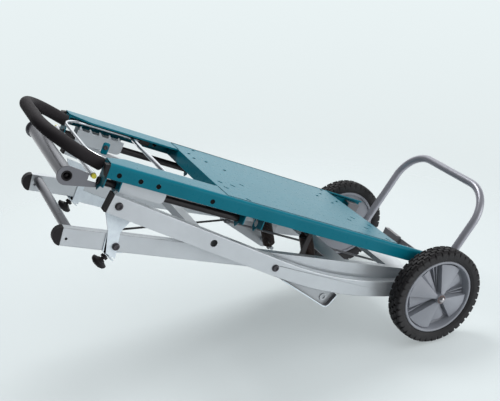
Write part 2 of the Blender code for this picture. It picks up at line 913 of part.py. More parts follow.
def makeLegA(tag, side):
    middle = (legAInner + legAOuter) / 2
    width = legAOuter - legAInner
    path = [(x, side * middle, z) for x, z in legAPath()]
    tube = sweep(path, rectangle(width, legADepth),
                 rectangle(width - 2 * legAWall, legADepth - 2 * legAWall), Vector((0.0, 1.0, 0.0)))
    leg = makeObject("leg_a_" + tag, tube, "grey_paint", legAPivot)
    ends = (side * (legAInner - width), side * (legAOuter + width))
    holes = []
    for x, z, radius in ((topPinX, topPinZ, boltHole), (pivotX, pivotZ, pivotHole),
                         (axleX, axleZ, axleHole)):
        holes.append(rod((x, ends[0], z), (x, ends[1], z), radius, 14))
    holes.append(rod((spareHoleX, side * middle, spareHoleZ), (spareHoleX, ends[1], spareHoleZ),
                     spareHoleRadius, 20))
    combine(leg, merged(holes), "DIFFERENCE")
    first, second = (Vector(p) for p in path[:2])
    back = (first - second).normalized()
    start = first + back * fitGap
    cap = sweep([start, start + back * legACapReach], rectangle(width, legADepth), None,
                Vector((0.0, 1.0, 0.0)))
    obj = makeObject("leg_a_cap_" + tag, cap, "black_rubber", legAPivot)
    tongue = sweep([start + back * sheet, start - back * 2 * legACapReach],
                   rectangle(width - 3 * legAWall, legADepth - 3 * legAWall), None,
                   Vector((0.0, 1.0, 0.0)))
    combine(obj, tongue, "UNION")
    profile = [(topBoltInner, 0.0), (topBoltInner, boltHead), (topBoltNut, boltHead),
               (topBoltNut, boltShank), (legAOuter + fitGap, boltShank),
               (legAOuter + fitGap, boltHead), (legAOuter + boltHeadHeight, boltHead * headRimShare),
               (legAOuter + boltHeadHeight, 0.0)]
    bolt = turned([(side * y, r) for y, r in profile], (topPinX, 0.0, topPinZ), 16)
    makeObject("top_bolt_" + tag, bolt, "plated_bolt", legAPivot)


def makeGusset(tag, side):
    outline = [(gussetLeftX, gussetTopZ), (gussetLeftX, gussetLeftZ), (gussetTipX, gussetTipZ),
               (gussetRoundX, gussetRoundZ), (gussetRightX, gussetRightZ), (gussetRightX, gussetTopZ)]
    plate = slab([outline], "xz", side * gussetInner, side * gussetOuter)
    obj = makeObject("gusset_" + tag, plate, "grey_paint", legAPivot)
    along = Vector((gussetTipX - gussetLeftX, 0.0, gussetTipZ - gussetLeftZ)).normalized()
    rise = Vector((-along.z, 0.0, along.x)) * gussetSheet
    first = Vector((gussetLeftX, 0.0, gussetLeftZ))
    last = Vector((gussetTipX, 0.0, gussetTipZ))
    strip = [first + along * boltHead, last, last + rise, first + along * boltHead + rise]
    flange = slab([[(p.x, p.z) for p in strip]], "xz", side * gussetInner, side * gussetFlange)
    combine(obj, flange, "UNION")
    profile = [(springPinInner, 0.0), (springPinInner, springPin), (gussetInner + sheet / 2, springPin),
               (gussetInner + sheet / 2, pinBoss), (pinBossEnd, pinBoss), (pinBossEnd, pinBossBore),
               (gussetOuter, pinBossBore), (gussetOuter, 0.0)]
    pin = turned([(side * y, r) for y, r in profile], (springLowX, 0.0, springLowZ), 16)
    combine(obj, pin, "UNION")


def makeSpring(tag, side):
    low = Vector((springLowX, side * springOff, springLowZ))
    high = Vector((springHighX, side * springOff, springHighZ))
    axis = (high - low).normalized()
    length = springCurls * springPitch
    start = (low + high) / 2 - axis * (length / 2)
    u = Vector((0.0, 1.0, 0.0))
    v = axis.cross(u)
    count = springCurls * springPoints
    path = []
    for i in range(count + 1):
        turn = math.tau * i / springPoints
        spot = start + axis * (length * i / count)
        path.append(spot + u * (springRadius * math.cos(turn)) + v * (springRadius * math.sin(turn)))
    straight = 2 * springWire
    path.insert(0, path[0] - (path[1] - path[0]).normalized() * straight)
    path.append(path[-1] + (path[-1] - path[-2]).normalized() * straight)
    least = min((path[i] - path[j]).length for i in range(len(path))
                for j in range(i + springPoints - 2, min(i + springPoints + 3, len(path))))
    print("spring", tag, "least gap between curls", round((least - 2 * springWire) * 1000, 3), "mm")
    bm = sweep(path, circle(springWire, 6))
    makeObject("spring_" + tag, bm, "spring_steel", legAPivot)


def makeLegACross():
    drop = crossBarSlopeShare * (crossBarEnd - crossBarStart)
    half = legAInner - fitGap
    outline = [(crossBarStart, crossBarTop), (crossBarEnd, crossBarTop - drop),
               (crossBarEnd, crossBarFoot - drop), (crossBarStart, crossBarFoot)]
    inner = [(crossBarStart + sheet, crossBarTop - sheet), (crossBarEnd - sheet, crossBarTop - drop - sheet),
             (crossBarEnd - sheet, crossBarFoot - drop + sheet),
             (crossBarStart + sheet, crossBarFoot + sheet)]
    makeObject("cross_bar", slab([outline, inner], "xz", -half, half), "grey_paint", legAPivot)
    profile = [(-axleDomeEnd, 0.0), (-axleDomeEnd, axleDome / 2), (-axleDomeStart, axleDome),
               (-axleDomeStart, axleRadius), (axleDomeStart, axleRadius), (axleDomeStart, axleDome),
               (axleDomeEnd, axleDome / 2), (axleDomeEnd, 0.0)]
    makeObject("axle", turned(profile, (axleX, 0.0, axleZ), 20), "bright_rod", legAPivot)
    flat = [(0.0, -loopOff)]
    steps = 8
    for i in range(steps + 1):
        turn = math.pi / 2 * i / steps
        flat.append((loopLength - loopCorner + loopCorner * math.sin(turn),
                     -loopOff + loopCorner - loopCorner * math.cos(turn)))
    flat += [(s, -y) for s, y in reversed(flat)]
    path = [(loopBaseX + s * math.cos(loopTilt), y, loopBaseZ + s * math.sin(loopTilt)) for s, y in flat]
    loop = sweep(path, circle(loopRadius, 12), circle(loopBore, 12))
    makeObject("loop_tube", loop, "loop_metal", legAPivot)
    pull = rod((pullRodStart, pullRodOff, pullRodZ), (pullRodEnd, pullRodOff, pullRodZ), pullRodRadius, 8)
    obj = makeObject("pull_rod", pull, "dark_paint", legAPivot)
    knob = rod((pullRodStart - knobLength / 2, pullRodOff, pullRodZ),
               (pullRodStart + knobLength / 2, pullRodOff, pullRodZ), knobRadius, 10)
    combine(obj, knob, "UNION")


def legBSpot(x):
    return legBStartZ + math.tan(legBSlope) * (x - legBStartX)


def makeLegB(tag, side):
    middle = (legBInner + legBOuter) / 2
    width = legBOuter - legBInner
    path = [(legBStartX, side * middle, legBStartZ), (legBEndX, side * middle, legBSpot(legBEndX))]
    tube = sweep(path, rectangle(width, legBDepth),
                 rectangle(width - 2 * legBWall, legBDepth - 2 * legBWall), Vector((0.0, 1.0, 0.0)))
    leg = makeObject("leg_b_" + tag, tube, "grey_paint", legBPivot)
    tip = Vector((math.cos(legBSlope), 0.0, math.sin(legBSlope)))
    end = Vector(path[1])
    half = legBDepth / 2
    rounding = [(end.x - tip.x * half / 2 + tip.z * half, end.z - tip.z * half / 2 - tip.x * half)]
    for i in range(13):
        turn = legBSlope - math.pi / 2 + math.pi * i / 12
        rounding.append((end.x + legBDepth / 2 * math.cos(turn), end.z + legBDepth / 2 * math.sin(turn)))
    rounding.append((end.x - tip.x * half / 2 - tip.z * half, end.z - tip.z * half / 2 + tip.x * half))
    combine(leg, slab([rounding], "xz", side * legBInner, side * legBOuter), "UNION")
    foot = legBSpot(springHighX) + legBDepth / 4
    anchor = [(springHighX - anchorWidth / 2, anchorTopZ), (springHighX + anchorWidth / 2, anchorTopZ),
              (springHighX + anchorWidth * anchorFootShare, foot),
              (springHighX - anchorWidth * anchorFootShare, foot)]
    combine(leg, slab([anchor], "xz", side * anchorInner, side * (legBInner + sheet / 2)), "UNION")
    pin = rod((springHighX, side * springPinInner, springHighZ),
              (springHighX, side * (legBInner - sheet / 2), springHighZ), springPin, 12)
    combine(leg, pin, "UNION")
    holes = []
    for x, z, radius in ((hingeX, hingeZ, hingeHole), (pivotX, pivotZ, pivotHole),
                         (footBoltX, footBoltZ, boltHole), (legBHoleX, legBHoleZ, legBHole)):
        holes.append(rod((x, side * (legBInner - width / 4), z), (x, side * (legBOuter + width), z),
                         radius, 14))
    combine(leg, merged(holes), "DIFFERENCE")
    start = Vector(path[0])
    outline = []
    for i in range(13):
        turn = legBSlope + math.pi / 2 + math.pi * i / 12
        squeeze = footCapReach / (legBDepth / 2)
        along = math.cos(turn - legBSlope) * squeeze * legBDepth / 2
        rise = math.sin(turn - legBSlope) * legBDepth / 2
        outline.append((start.x + tip.x * (along - fitGap) - tip.z * rise,
                        start.z + tip.z * (along - fitGap) + tip.x * rise))
    cap = slab([outline], "xz", side * legBInner, side * legBOuter)
    makeObject("foot_cap_" + tag, cap, "black_rubber", legBPivot)
    head = boltHead * pivotHeadShare
    profile = [(pivotInner, 0.0), (pivotInner, head), (pivotNut, head), (pivotNut, pivotShank),
               (legBOuter + fitGap, pivotShank), (legBOuter + fitGap, pivotSpacer),
               (gussetInner - fitGap, pivotSpacer), (gussetInner - fitGap, pivotShank),
               (legAOuter + fitGap, pivotShank), (legAOuter + fitGap, boltHead),
               (legAOuter + boltHeadHeight, boltHead * headRimShare), (legAOuter + boltHeadHeight, 0.0)]
    bolt = turned([(side * y, r) for y, r in profile], (pivotX, 0.0, pivotZ), 16)
    makeObject("pivot_bolt_" + tag, bolt, "plated_bolt", legBPivot)


# shallow channel on its back, open below, following the slope of leg B
def crossChannel(name, start, end, drop):
    rise = legBDepth / 2 / math.cos(legBSlope)
    slope = math.tan(legBSlope)
    top = [(start, legBSpot(start) + rise), (end, legBSpot(end) + rise)]
    outline = [top[0], top[1], (end, top[1][1] - drop), (end - crossSheet, top[1][1] - drop),
               (end - crossSheet, top[1][1] - crossSheet * (1 + slope)),
               (start + crossSheet, top[0][1] - crossSheet * (1 - slope)),
               (start + crossSheet, top[0][1] - drop), (start, top[0][1] - drop)]
    body = slab([outline], "xz", -crossPlateHalf, crossPlateHalf)
    makeObject(name, body, "grey_paint", legBPivot)


def makeLegBCross():
    tube = rod((footTubeX, -crossPlateHalf, footTubeZ), (footTubeX, crossPlateHalf, footTubeZ),
               footTubeRadius, 16, footTubeBore)
    makeObject("foot_tube", tube, "grey_paint", legBPivot)
    crossChannel("cross_channel", channelStart, channelEnd, channelDrop)
    crossChannel("cross_member", memberStart, memberEnd, memberDrop)
    link = rod((linkLowX, linkLowOff, linkLowZ), (linkHighX, linkHighOff, linkHighZ), linkRadius, 8)
    makeObject("link_rod", link, "black_steel", legBPivot)


def makeFootBracket(tag, side):
    outline = [(cheekTopLeftX, cheekTopLeftZ), (cheekTopRightX, cheekTopRightZ),
               (cheekNeckRightX, cheekNeckRightZ), (cheekFootRightX, cheekFootRightZ),
               (cheekFootLeftX, cheekFootLeftZ), (cheekNeckLeftX, cheekNeckLeftZ)]
    cheek = slab([outline], "xz", side * cheekInner, side * cheekOuter)
    obj = makeObject("foot_bracket_" + tag, cheek, "zinc_plate", legBPivot)
    stud = Vector((math.cos(studAngle), 0.0, math.sin(studAngle)))
    across = Vector((-stud.z, 0.0, stud.x))
    middle = Vector((footPlateX, 0.0, footPlateZ))
    corners = [middle - across * footPlateLeft, middle + across * footPlateRight,
               middle + across * footPlateRight + stud * footPlateSheet,
               middle - across * footPlateLeft + stud * footPlateSheet]
    plate = slab([[(p.x, p.z) for p in corners]], "xz", side * barInner, side * cheekOuter)
    combine(obj, plate, "UNION")
    barEndX = barEndNearX if side < 0 else barEndFarX
    fall = barFallShare * (barEndX - barTopX)
    bar = [(barTopX, waistTop), (waistEndX, waistTop), (waistEndX, barTopZ),
           (barEndX, barTopZ - fall), (barEndX, barTopZ - fall - barDrop),
           (cheekFootRightX, footPlateZ + sheet), (cheekFootRightX, footPlateZ - footPlateSheet * 2),
           (barTopX, footPlateZ - sheet)]
    combine(obj, slab([bar], "xz", side * barInner, side * crossPlateHalf), "UNION")
    profile = [(cheekOuter - sheet / 2, 0.0), (cheekOuter - sheet / 2, footBoltRadius),
               (footBoltEnd, footBoltRadius), (footBoltEnd, 0.0)]
    bolt = turned([(side * y, r) for y, r in profile], (footBoltX, 0.0, footBoltZ), 16)
    combine(obj, bolt, "UNION")
    reach = footPlateRight
    hole = rod(middle - stud * reach + Vector((0.0, side * studOff, 0.0)),
               middle + stud * reach + Vector((0.0, side * studOff, 0.0)), studHole, 14)
    combine(obj, hole, "DIFFERENCE")


def makeLevellingFoot(tag, side, parent):
    stud = Vector((math.cos(studAngle), 0.0, math.sin(studAngle)))
    profile = [(-studTop, 0.0), (-studTop, studRadius), (footPlateSheet - nutTop, studRadius),
               (footPlateSheet - nutTop, nutRadius), (footPlateSheet - nutFoot, nutRadius),
               (footPlateSheet - nutFoot, studRadius), (footPlateSheet - padTop, studRadius),
               (footPlateSheet - padTop, padNeck), (footPlateSheet - padRim, padRadius),
               (footPlateSheet - padFoot + sheet, padRadius * padRimShare),
               (footPlateSheet - padFoot, padRadius * padTipShare),
               (footPlateSheet - padFoot, 0.0)]
    centre = Vector((footPlateX, side * studOff, footPlateZ))
    foot = turned(profile, centre, 16, stud)
    makeObject("levelling_foot_" + tag, foot, "black_rubber", parent)


def makeWheel(tag, side, parent):
    half = wheelHalfWidth
    cheek = rimRadius * tyreCheekShare
    bulge = tyreShoulder * tyreSideShare
    flat = tyreShoulderHalf * treadFlatShare
    tyre = [(-tyreBeadHalf, tyreInner), (tyreBeadHalf, tyreInner), (tyreShoulderHalf, cheek), (half, bulge),
            (tyreShoulderHalf, tyreShoulder), (flat, tyreRadius), (-flat, tyreRadius),
            (-tyreShoulderHalf, tyreShoulder), (-half, bulge), (-tyreShoulderHalf, cheek)]
    centre = (axleX, side * wheelOff, axleZ)
    makeObject("tyre_" + tag, turned(tyre, centre, 32, closed=True), "tyre_rubber", parent)
    web = hubWebHalf
    hub = [(-side * hubBarrelIn, axleHole), (-side * hubBarrelIn, hubBarrel), (-side * web, hubBarrel),
           (-side * web, rimInner), (-side * rimHalf, rimInner), (-side * rimHalf, rimRadius),
           (side * rimHalf, rimRadius), (side * rimHalf, rimInner), (side * web, rimInner),
           (side * (web + hubCone), hubBarrel), (side * hubBarrelOut, hubBarrel),
           (side * hubBarrelOut, axleHole)]
    obj = makeObject("hub_" + tag, turned(hub, centre, 32, closed=True), "hub_plastic", parent)
    vanes = []
    for i in range(vaneCount):
        turn = math.tau * i / vaneCount + vaneTurn
        outline = [(axleX + vaneInner * math.cos(turn), axleZ + vaneInner * math.sin(turn))]
        for k in range(5):
            angle = turn + vaneSpread * (k / 4 - 0.5)
            outline.append((axleX + vaneOuter * math.cos(angle), axleZ + vaneOuter * math.sin(angle)))
        start = side * (wheelOff + web / 2)
        vane = slab([outline], "xz", start, side * (wheelOff + vaneHalf))
        for vert in vane.verts:
            if abs(vert.co.y) > wheelOff + web:
                reach = math.hypot(vert.co.x - axleX, vert.co.z - axleZ)
                vert.co.y += side * vaneRise * (1 - reach / vaneOuter)
        vanes.append(vane)
    combine(obj, merged(vanes), "UNION")


datum = pivotEmpty("datum", (0.0, 0.0, 0.0))
datum.location = (-(plateLeft + plateRight) / 2, 0.0, 0.0)
bailPivot = pivotEmpty("bail_slide", (bailX, 0.0, bailZ), datum)
legBPivot = pivotEmpty("leg_b_pivot", (hingeX, 0.0, hingeZ), datum)
legAPivot = pivotEmpty("leg_a_pivot", (pivotX, 0.0, pivotZ), datum)

makePlate()
makeTableEnd()
makeHandle()
makeRearFrame()
makeBail()
makeLegACross()
makeLegBCross()
for tag, side in sides:
    makeRail(tag, side)
    makeGuides(tag, side)
    makeLegA(tag, side)
    makeGusset(tag, side)
    makeSpring(tag, side)
    makeLegB(tag, side)
    makeFootBracket(tag, side)
    carriagePivot = pivotEmpty("carriage_pivot_" + tag, (topPinX, 0.0, topPinZ), datum)
    makeCarriage(tag, side, carriagePivot)
    wheelPivot = pivotEmpty("wheel_axis_" + tag, (axleX, side * wheelOff, axleZ), datum)
    makeWheel(tag, side, wheelPivot)
    footPivot = pivotEmpty("foot_axis_" + tag, (footPlateX, side * studOff, footPlateZ), datum)
    makeLevellingFoot(tag, side, footPivot)

for obj in bpy.data.objects:
    if obj.type == "MESH":
        obj.data.polygons.foreach_set("use_smooth", [True] * len(obj.data.polygons))
        obj.data.set_sharp_from_angle(angle=math.radians(32))
print("stand pieces", sum(1 for obj in bpy.data.objects if obj.type == "MESH"))
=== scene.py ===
import json
import math
import bmesh
import bpy
import numpy as np
from mathutils import Matrix, Vector

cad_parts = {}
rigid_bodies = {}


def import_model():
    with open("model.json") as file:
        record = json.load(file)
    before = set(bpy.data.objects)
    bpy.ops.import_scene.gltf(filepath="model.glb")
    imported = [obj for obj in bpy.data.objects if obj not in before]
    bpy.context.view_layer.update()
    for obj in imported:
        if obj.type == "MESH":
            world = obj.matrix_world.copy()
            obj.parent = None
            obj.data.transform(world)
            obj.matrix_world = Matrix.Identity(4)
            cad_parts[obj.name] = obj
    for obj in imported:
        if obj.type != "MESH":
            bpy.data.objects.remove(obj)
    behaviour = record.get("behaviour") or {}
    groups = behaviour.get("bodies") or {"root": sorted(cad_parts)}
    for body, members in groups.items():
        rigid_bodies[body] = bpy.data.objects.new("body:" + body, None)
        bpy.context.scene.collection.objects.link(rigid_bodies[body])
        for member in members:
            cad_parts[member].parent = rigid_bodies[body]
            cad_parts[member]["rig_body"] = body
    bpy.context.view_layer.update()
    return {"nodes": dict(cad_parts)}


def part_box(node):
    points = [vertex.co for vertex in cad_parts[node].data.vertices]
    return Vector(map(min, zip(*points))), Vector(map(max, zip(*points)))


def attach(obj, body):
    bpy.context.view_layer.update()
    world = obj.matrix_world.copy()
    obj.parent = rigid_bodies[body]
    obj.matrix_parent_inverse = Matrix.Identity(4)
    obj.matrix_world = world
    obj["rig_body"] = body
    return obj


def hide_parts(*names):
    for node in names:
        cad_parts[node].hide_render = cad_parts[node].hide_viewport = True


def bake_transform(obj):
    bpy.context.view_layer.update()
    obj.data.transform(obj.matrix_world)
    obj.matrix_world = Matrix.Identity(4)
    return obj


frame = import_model()

# metres; +X runs to the wheels, -Y is the near side, the table top lies at z = 0
# x given from the left end of the rails is moved by this much
railStart = -0.631
sides = (("near", -1.0), ("far", 1.0))


def at(x, y, z):
    return np.array([x + railStart, y, z])


# what a finish has where its own entry in looks doesn't say otherwise
usual = {"metal": 0.0, "specular": 0.5, "drift": 0.07, "roughDrift": 0.05, "edge": None, "worn": 0.6,
         "blotch": 11.0, "scuff": 70.0, "grain": 700.0, "bump": 0.06, "bumpHeight": 0.0002,
         "stretch": (1.0, 1.0, 1.0)}
# detail and roughness of the three noises, the range of their values that is used for the drift, the wear
# and the roughness, and how far the light shade is lifted with the drift
noises = {"broad": (4.0, 0.6), "middle": (6.0, 0.68), "fine": (2.0, 0.5), "drift": (0.32, 0.68),
          "wear": (0.44, 0.60), "rough": (0.3, 0.7), "lift": 0.02}


# A paint, plastic or metal. Its colour drifts between two shades with a broad noise,
# its roughness with a middle one, and a fine noise gives the bump.
# Where a piece's wear attribute is 1, patches of the edge colour show through.
def finish(name, own):
    look = {**usual, **own}
    material = bpy.data.materials.new(name)
    material.use_nodes = True
    tree = material.node_tree
    shader = tree.nodes["Principled BSDF"]

    def add(kind, **values):
        item = tree.nodes.new(kind)
        for key, value in values.items():
            setattr(item, key, value)
        return item

    def noise(scale, kind):
        detail, rough = noises[kind]
        coords = add("ShaderNodeTexCoord")
        stretched = add("ShaderNodeMapping")
        stretched.inputs["Scale"].default_value = look["stretch"]
        item = add("ShaderNodeTexNoise")
        item.inputs["Scale"].default_value = scale
        item.inputs["Detail"].default_value = detail
        item.inputs["Roughness"].default_value = rough
        tree.links.new(coords.outputs["Object"], stretched.inputs["Vector"])
        tree.links.new(stretched.outputs["Vector"], item.inputs["Vector"])
        return item.outputs["Fac"]

    def spread(value, start, end, low, high):
        item = add("ShaderNodeMapRange", clamp=True)
        item.inputs["From Min"].default_value = start
        item.inputs["From Max"].default_value = end
        item.inputs["To Min"].default_value = low
        item.inputs["To Max"].default_value = high
        tree.links.new(value, item.inputs["Value"])
        return item.outputs["Result"]

    def mixed(factor, first, second):
        item = add("ShaderNodeMix", data_type="RGBA")
        tree.links.new(factor, item.inputs["Factor"])
        for socket, value in ((item.inputs[6], first), (item.inputs[7], second)):
            if isinstance(value, tuple):
                socket.default_value = (*value, 1.0)
            else:
                tree.links.new(value, socket)
        return item.outputs[2]

    colour, drift = look["colour"], look["drift"]
    broad = spread(noise(look["blotch"], "broad"), *noises["drift"], 0.0, 1.0)
    dark = tuple(c * (1.0 - drift) for c in colour)
    light = tuple(min(1.0, c * (1.0 + drift) + drift * noises["lift"]) for c in colour)
    base = mixed(broad, dark, light)
    middle = noise(look["scuff"], "middle")
    fine = noise(look["grain"], "fine")
    if look["edge"]:
        attribute = add("ShaderNodeAttribute", attribute_name="wear")
        patch = add("ShaderNodeMath", operation="MULTIPLY")
        tree.links.new(attribute.outputs["Fac"], patch.inputs[0])
        tree.links.new(spread(middle, *noises["wear"], 0.0, look["worn"]), patch.inputs[1])
        base = mixed(patch.outputs["Value"], base, look["edge"])
    tree.links.new(base, shader.inputs["Base Color"])
    rough, sway = look["rough"], look["roughDrift"]
    tree.links.new(spread(middle, *noises["rough"], rough - sway, rough + sway), shader.inputs["Roughness"])
    bump = add("ShaderNodeBump")
    bump.inputs["Strength"].default_value = look["bump"]
    bump.inputs["Distance"].default_value = look["bumpHeight"]
    tree.links.new(fine, bump.inputs["Height"])
    tree.links.new(bump.outputs["Normal"], shader.inputs["Normal"])
    shader.inputs["Metallic"].default_value = look["metal"]
    shader.inputs["Specular IOR Level"].default_value = look["specular"]
    return material


looks = {
    "teal_paint": {"colour": (0.0018, 0.148, 0.205), "rough": 0.30, "drift": 0.04, "edge": (0.16, 0.36, 0.41),
                   "worn": 0.45, "specular": 0.12, "bump": 0.04, "grain": 420.0},
    "grey_paint": {"colour": (0.56, 0.595, 0.62), "rough": 0.33, "metal": 0.50, "drift": 0.04,
                   "edge": (0.72, 0.75, 0.77), "worn": 0.5, "bump": 0.04, "grain": 520.0},
    # a darkened copy of the grey paint for the rear frame and foot tube: painted shade
    "tube_paint": {"colour": (0.185, 0.190, 0.207), "rough": 0.29, "metal": 0.75, "drift": 0.05,
                   "edge": (0.42, 0.43, 0.45), "worn": 0.4, "roughDrift": 0.02, "bump": 0.0,
                   "grain": 520.0},
    "dark_paint": {"colour": (0.165, 0.162, 0.172), "rough": 0.44, "metal": 0.25, "drift": 0.10,
                   "edge": (0.34, 0.34, 0.35), "worn": 0.6},
    "zinc_plate": {"colour": (0.80, 0.89, 0.96), "rough": 0.40, "metal": 0.05, "drift": 0.06, "blotch": 60.0,
                   "edge": (0.80, 0.86, 0.88), "worn": 0.5},
    "bright_rod": {"colour": (0.62, 0.65, 0.68), "rough": 0.22, "metal": 1.0, "drift": 0.06,
                   "edge": (0.8, 0.8, 0.82), "worn": 0.3, "bump": 0.03},
    "loop_metal": {"colour": (0.375, 0.38, 0.42), "rough": 0.36, "metal": 0.55, "drift": 0.04,
                   "edge": (0.6, 0.6, 0.62), "worn": 0.3, "bump": 0.03, "stretch": (1.0, 1.0, 0.35)},
    "black_rubber": {"colour": (0.013, 0.0115, 0.013), "rough": 0.56, "drift": 0.2, "specular": 0.3,
                     "edge": (0.06, 0.06, 0.062), "worn": 0.5, "bump": 0.15, "bumpHeight": 0.0004},
    "black_foam": {"colour": (0.019, 0.0165, 0.0185), "rough": 0.72, "drift": 0.12, "scuff": 160.0,
                   "bump": 0.45, "bumpHeight": 0.0006, "grain": 650.0, "specular": 0.2},
    "black_steel": {"colour": (0.020, 0.017, 0.018), "rough": 0.36, "metal": 0.3, "drift": 0.2,
                    "edge": (0.12, 0.11, 0.11), "worn": 0.4},
    "spring_steel": {"colour": (0.040, 0.024, 0.020), "rough": 0.42, "metal": 0.35, "drift": 0.25},
    "yellow_plastic": {"colour": (0.80, 0.72, 0.05), "rough": 0.42, "drift": 0.05, "edge": (0.9, 0.85, 0.3)},
    "hub_plastic": {"colour": (0.285, 0.30, 0.335), "rough": 0.42, "drift": 0.05, "edge": (0.50, 0.52, 0.55),
                    "worn": 0.5, "bump": 0.08},
    "tyre_rubber": {"colour": (0.0105, 0.0095, 0.011), "rough": 0.62, "drift": 0.2, "blotch": 24.0,
                    "edge": (0.055, 0.052, 0.052), "worn": 0.7, "bump": 0.25, "bumpHeight": 0.0004},
    "plated_bolt": {"colour": (0.070, 0.066, 0.074), "rough": 0.34, "metal": 0.6, "drift": 0.15,
                    "edge": (0.30, 0.29, 0.30), "worn": 0.6},
    "seam_shadow": {"colour": (0.001, 0.030, 0.042), "rough": 0.8, "specular": 0.1, "drift": 0.2},
    # near-black for the insides of holes: painted shade
    "hole_black": {"colour": (0.005, 0.0045, 0.005), "rough": 0.75, "specular": 0.1, "drift": 0.2},
    "axle_cap": {"colour": (0.50, 0.49, 0.50), "rough": 0.16, "metal": 0.9, "drift": 0.06, "bump": 0.01},
    # a darker copy of the grey paint for the gussets' faces, painted shade; its edges wear to a pale grey
    "gusset_paint": {"colour": (0.48, 0.505, 0.525), "rough": 0.36, "metal": 0.50, "drift": 0.05,
                     "edge": (0.80, 0.82, 0.84), "worn": 0.9, "bump": 0.03, "grain": 520.0},
    "cap_ring": {"colour": (0.22, 0.165, 0.160), "rough": 0.34, "metal": 0.6, "drift": 0.12},
}
finishes = {name: finish(name, look) for name, look in looks.items()}
print("finishes", len(finishes))


def plainName(node):
    first, *rest = node.split("_")
    return first + "".join(word.capitalize() for word in rest)


weldGap = 0.000001
# a side is divided by this where the roundings of both its ends have to fit on it
sideSplit = 2.02
# directions count as the same above this cosine
sameWay = 0.9


# joins points that meet, faces everything outward and smooths below the given angle
def settle(obj, angle=40.0):
    bm = bmesh.new()
    bm.from_mesh(obj.data)
    bmesh.ops.remove_doubles(bm, verts=bm.verts[:], dist=weldGap)
    bmesh.ops.dissolve_degenerate(bm, edges=bm.edges[:], dist=weldGap)
    bmesh.ops.recalc_face_normals(bm, faces=bm.faces[:])
    bm.to_mesh(obj.data)
    bm.free()
    obj.data.polygons.foreach_set("use_smooth", [True] * len(obj.data.polygons))
    obj.data.set_sharp_from_angle(angle=math.radians(angle))
    return obj


def addMesh(name, points, faces):
    mesh = bpy.data.meshes.new(name)
    mesh.from_pydata(np.asarray(points).reshape(-1, 3).tolist(), [], np.asarray(faces).tolist())
    obj = bpy.data.objects.new(name, mesh)
    bpy.context.scene.collection.objects.link(obj)
    return obj


# faces of a grid of points; either way round can close on itself
def gridFaces(rows, columns, closedRows, closedColumns):
    r, c = np.meshgrid(np.arange(rows if closedRows else rows - 1),
                       np.arange(columns if closedColumns else columns - 1), indexing="ij")
    r, c = r.ravel(), c.ravel()
    below, across = (r + 1) % rows, (c + 1) % columns
    return np.stack([r * columns + c, r * columns + across, below * columns + across, below * columns + c], 1)


def surface(name, points, closedRows=False, closedColumns=True, angle=40.0):
    faces = gridFaces(points.shape[0], points.shape[1], closedRows, closedColumns)
    return settle(addMesh(name, points, faces), angle)


# rounds the corners of an open or closed line: each corner p between neighbours a and b becomes
# the curve (1-t)^2 p0 + 2t(1-t) p + t^2 p1, with p0 and p1 a radius away from p
def rounded(line, radius, steps=4, closed=False):
    line = [np.asarray(p, float) for p in line]
    count = len(line)
    out = []
    for i, p in enumerate(line):
        if not closed and i in (0, count - 1):
            out.append(p)
            continue
        a, b = line[i - 1], line[(i + 1) % count]
        toA, toB = a - p, b - p
        reach = min(radius, np.linalg.norm(toA) / sideSplit, np.linalg.norm(toB) / sideSplit)
        p0 = p + toA / np.linalg.norm(toA) * reach
        p1 = p + toB / np.linalg.norm(toB) * reach
        for t in np.linspace(0.0, 1.0, steps + 1):
            out.append((1 - t) ** 2 * p0 + 2 * t * (1 - t) * p + t ** 2 * p1)
    return np.array(out)


# turned piece: profile rows hold (distance along the axis, radius);
# point = centre + axis d + r (u cos a + v sin a)
def turned(name, profile, centre, axis=(0.0, 1.0, 0.0), count=48, closed=False, angle=40.0):
    axis = np.asarray(axis, float)
    axis /= np.linalg.norm(axis)
    u = np.cross(axis, (0.0, 0.0, 1.0) if abs(axis[2]) < sameWay else (1.0, 0.0, 0.0))
    u /= np.linalg.norm(u)
    v = np.cross(axis, u)
    turn = np.arange(count) * (math.tau / count)
    profile = np.asarray(profile, float)
    spokes = np.cos(turn)[:, None] * u + np.sin(turn)[:, None] * v
    points = np.asarray(centre) + profile[:, 0, None, None] * axis + profile[:, 1, None, None] * spokes[None]
    return surface(name, points, closed, True, angle)


# frames carried along a path without twist
def carried(path):
    along = np.gradient(path, axis=0)
    along /= np.linalg.norm(along, axis=1)[:, None]
    side = np.array([0.0, 0.0, 1.0])
    if abs(along[0] @ side) > sameWay:
        side = np.array([0.0, 1.0, 0.0])
    us = []
    for t in along:
        side = side - t * (side @ t)
        side = side / np.linalg.norm(side)
        us.append(side)
    us = np.array(us)
    return us, np.cross(along, us)


# round tube or bar along a path: point = p + r (u cos a + v sin a), with softened closed ends
def tube(name, path, radius, count=24, soften=0.25):
    path = np.asarray(path, float)
    first, last = path[1] - path[0], path[-2] - path[-1]
    first, last = first / np.linalg.norm(first), last / np.linalg.norm(last)
    steps = 4
    turn = np.linspace(0.0, math.pi / 2, steps)
    starts = path[0] + first * (soften * radius - soften * radius * np.sin(math.pi / 2 - turn))[:, None]
    ends = path[-1] + last * (soften * radius - soften * radius * np.sin(math.pi / 2 - turn))[:, None]
    radii = 1.0 - soften + soften * np.sin(turn)
    whole = np.concatenate([starts[:1], starts, path[1:-1], ends[::-1], ends[:1]])
    shares = np.concatenate([[0.0], radii, np.ones(len(path) - 2), radii[::-1], [0.0]])
    body = np.concatenate([starts[-1:], path[1:-1], ends[-1:]])
    us, vs = (np.concatenate([np.repeat(row[:1], steps + 1, 0), row[1:-1], np.repeat(row[-1:], steps + 1, 0)])
              for row in carried(body))
    spin = np.arange(count) * (math.tau / count)
    ring = us[:, None] * np.cos(spin)[None, :, None] + vs[:, None] * np.sin(spin)[None, :, None]
    points = whole[:, None] + ring * (radius * shares)[:, None, None]
    return surface(name, points)


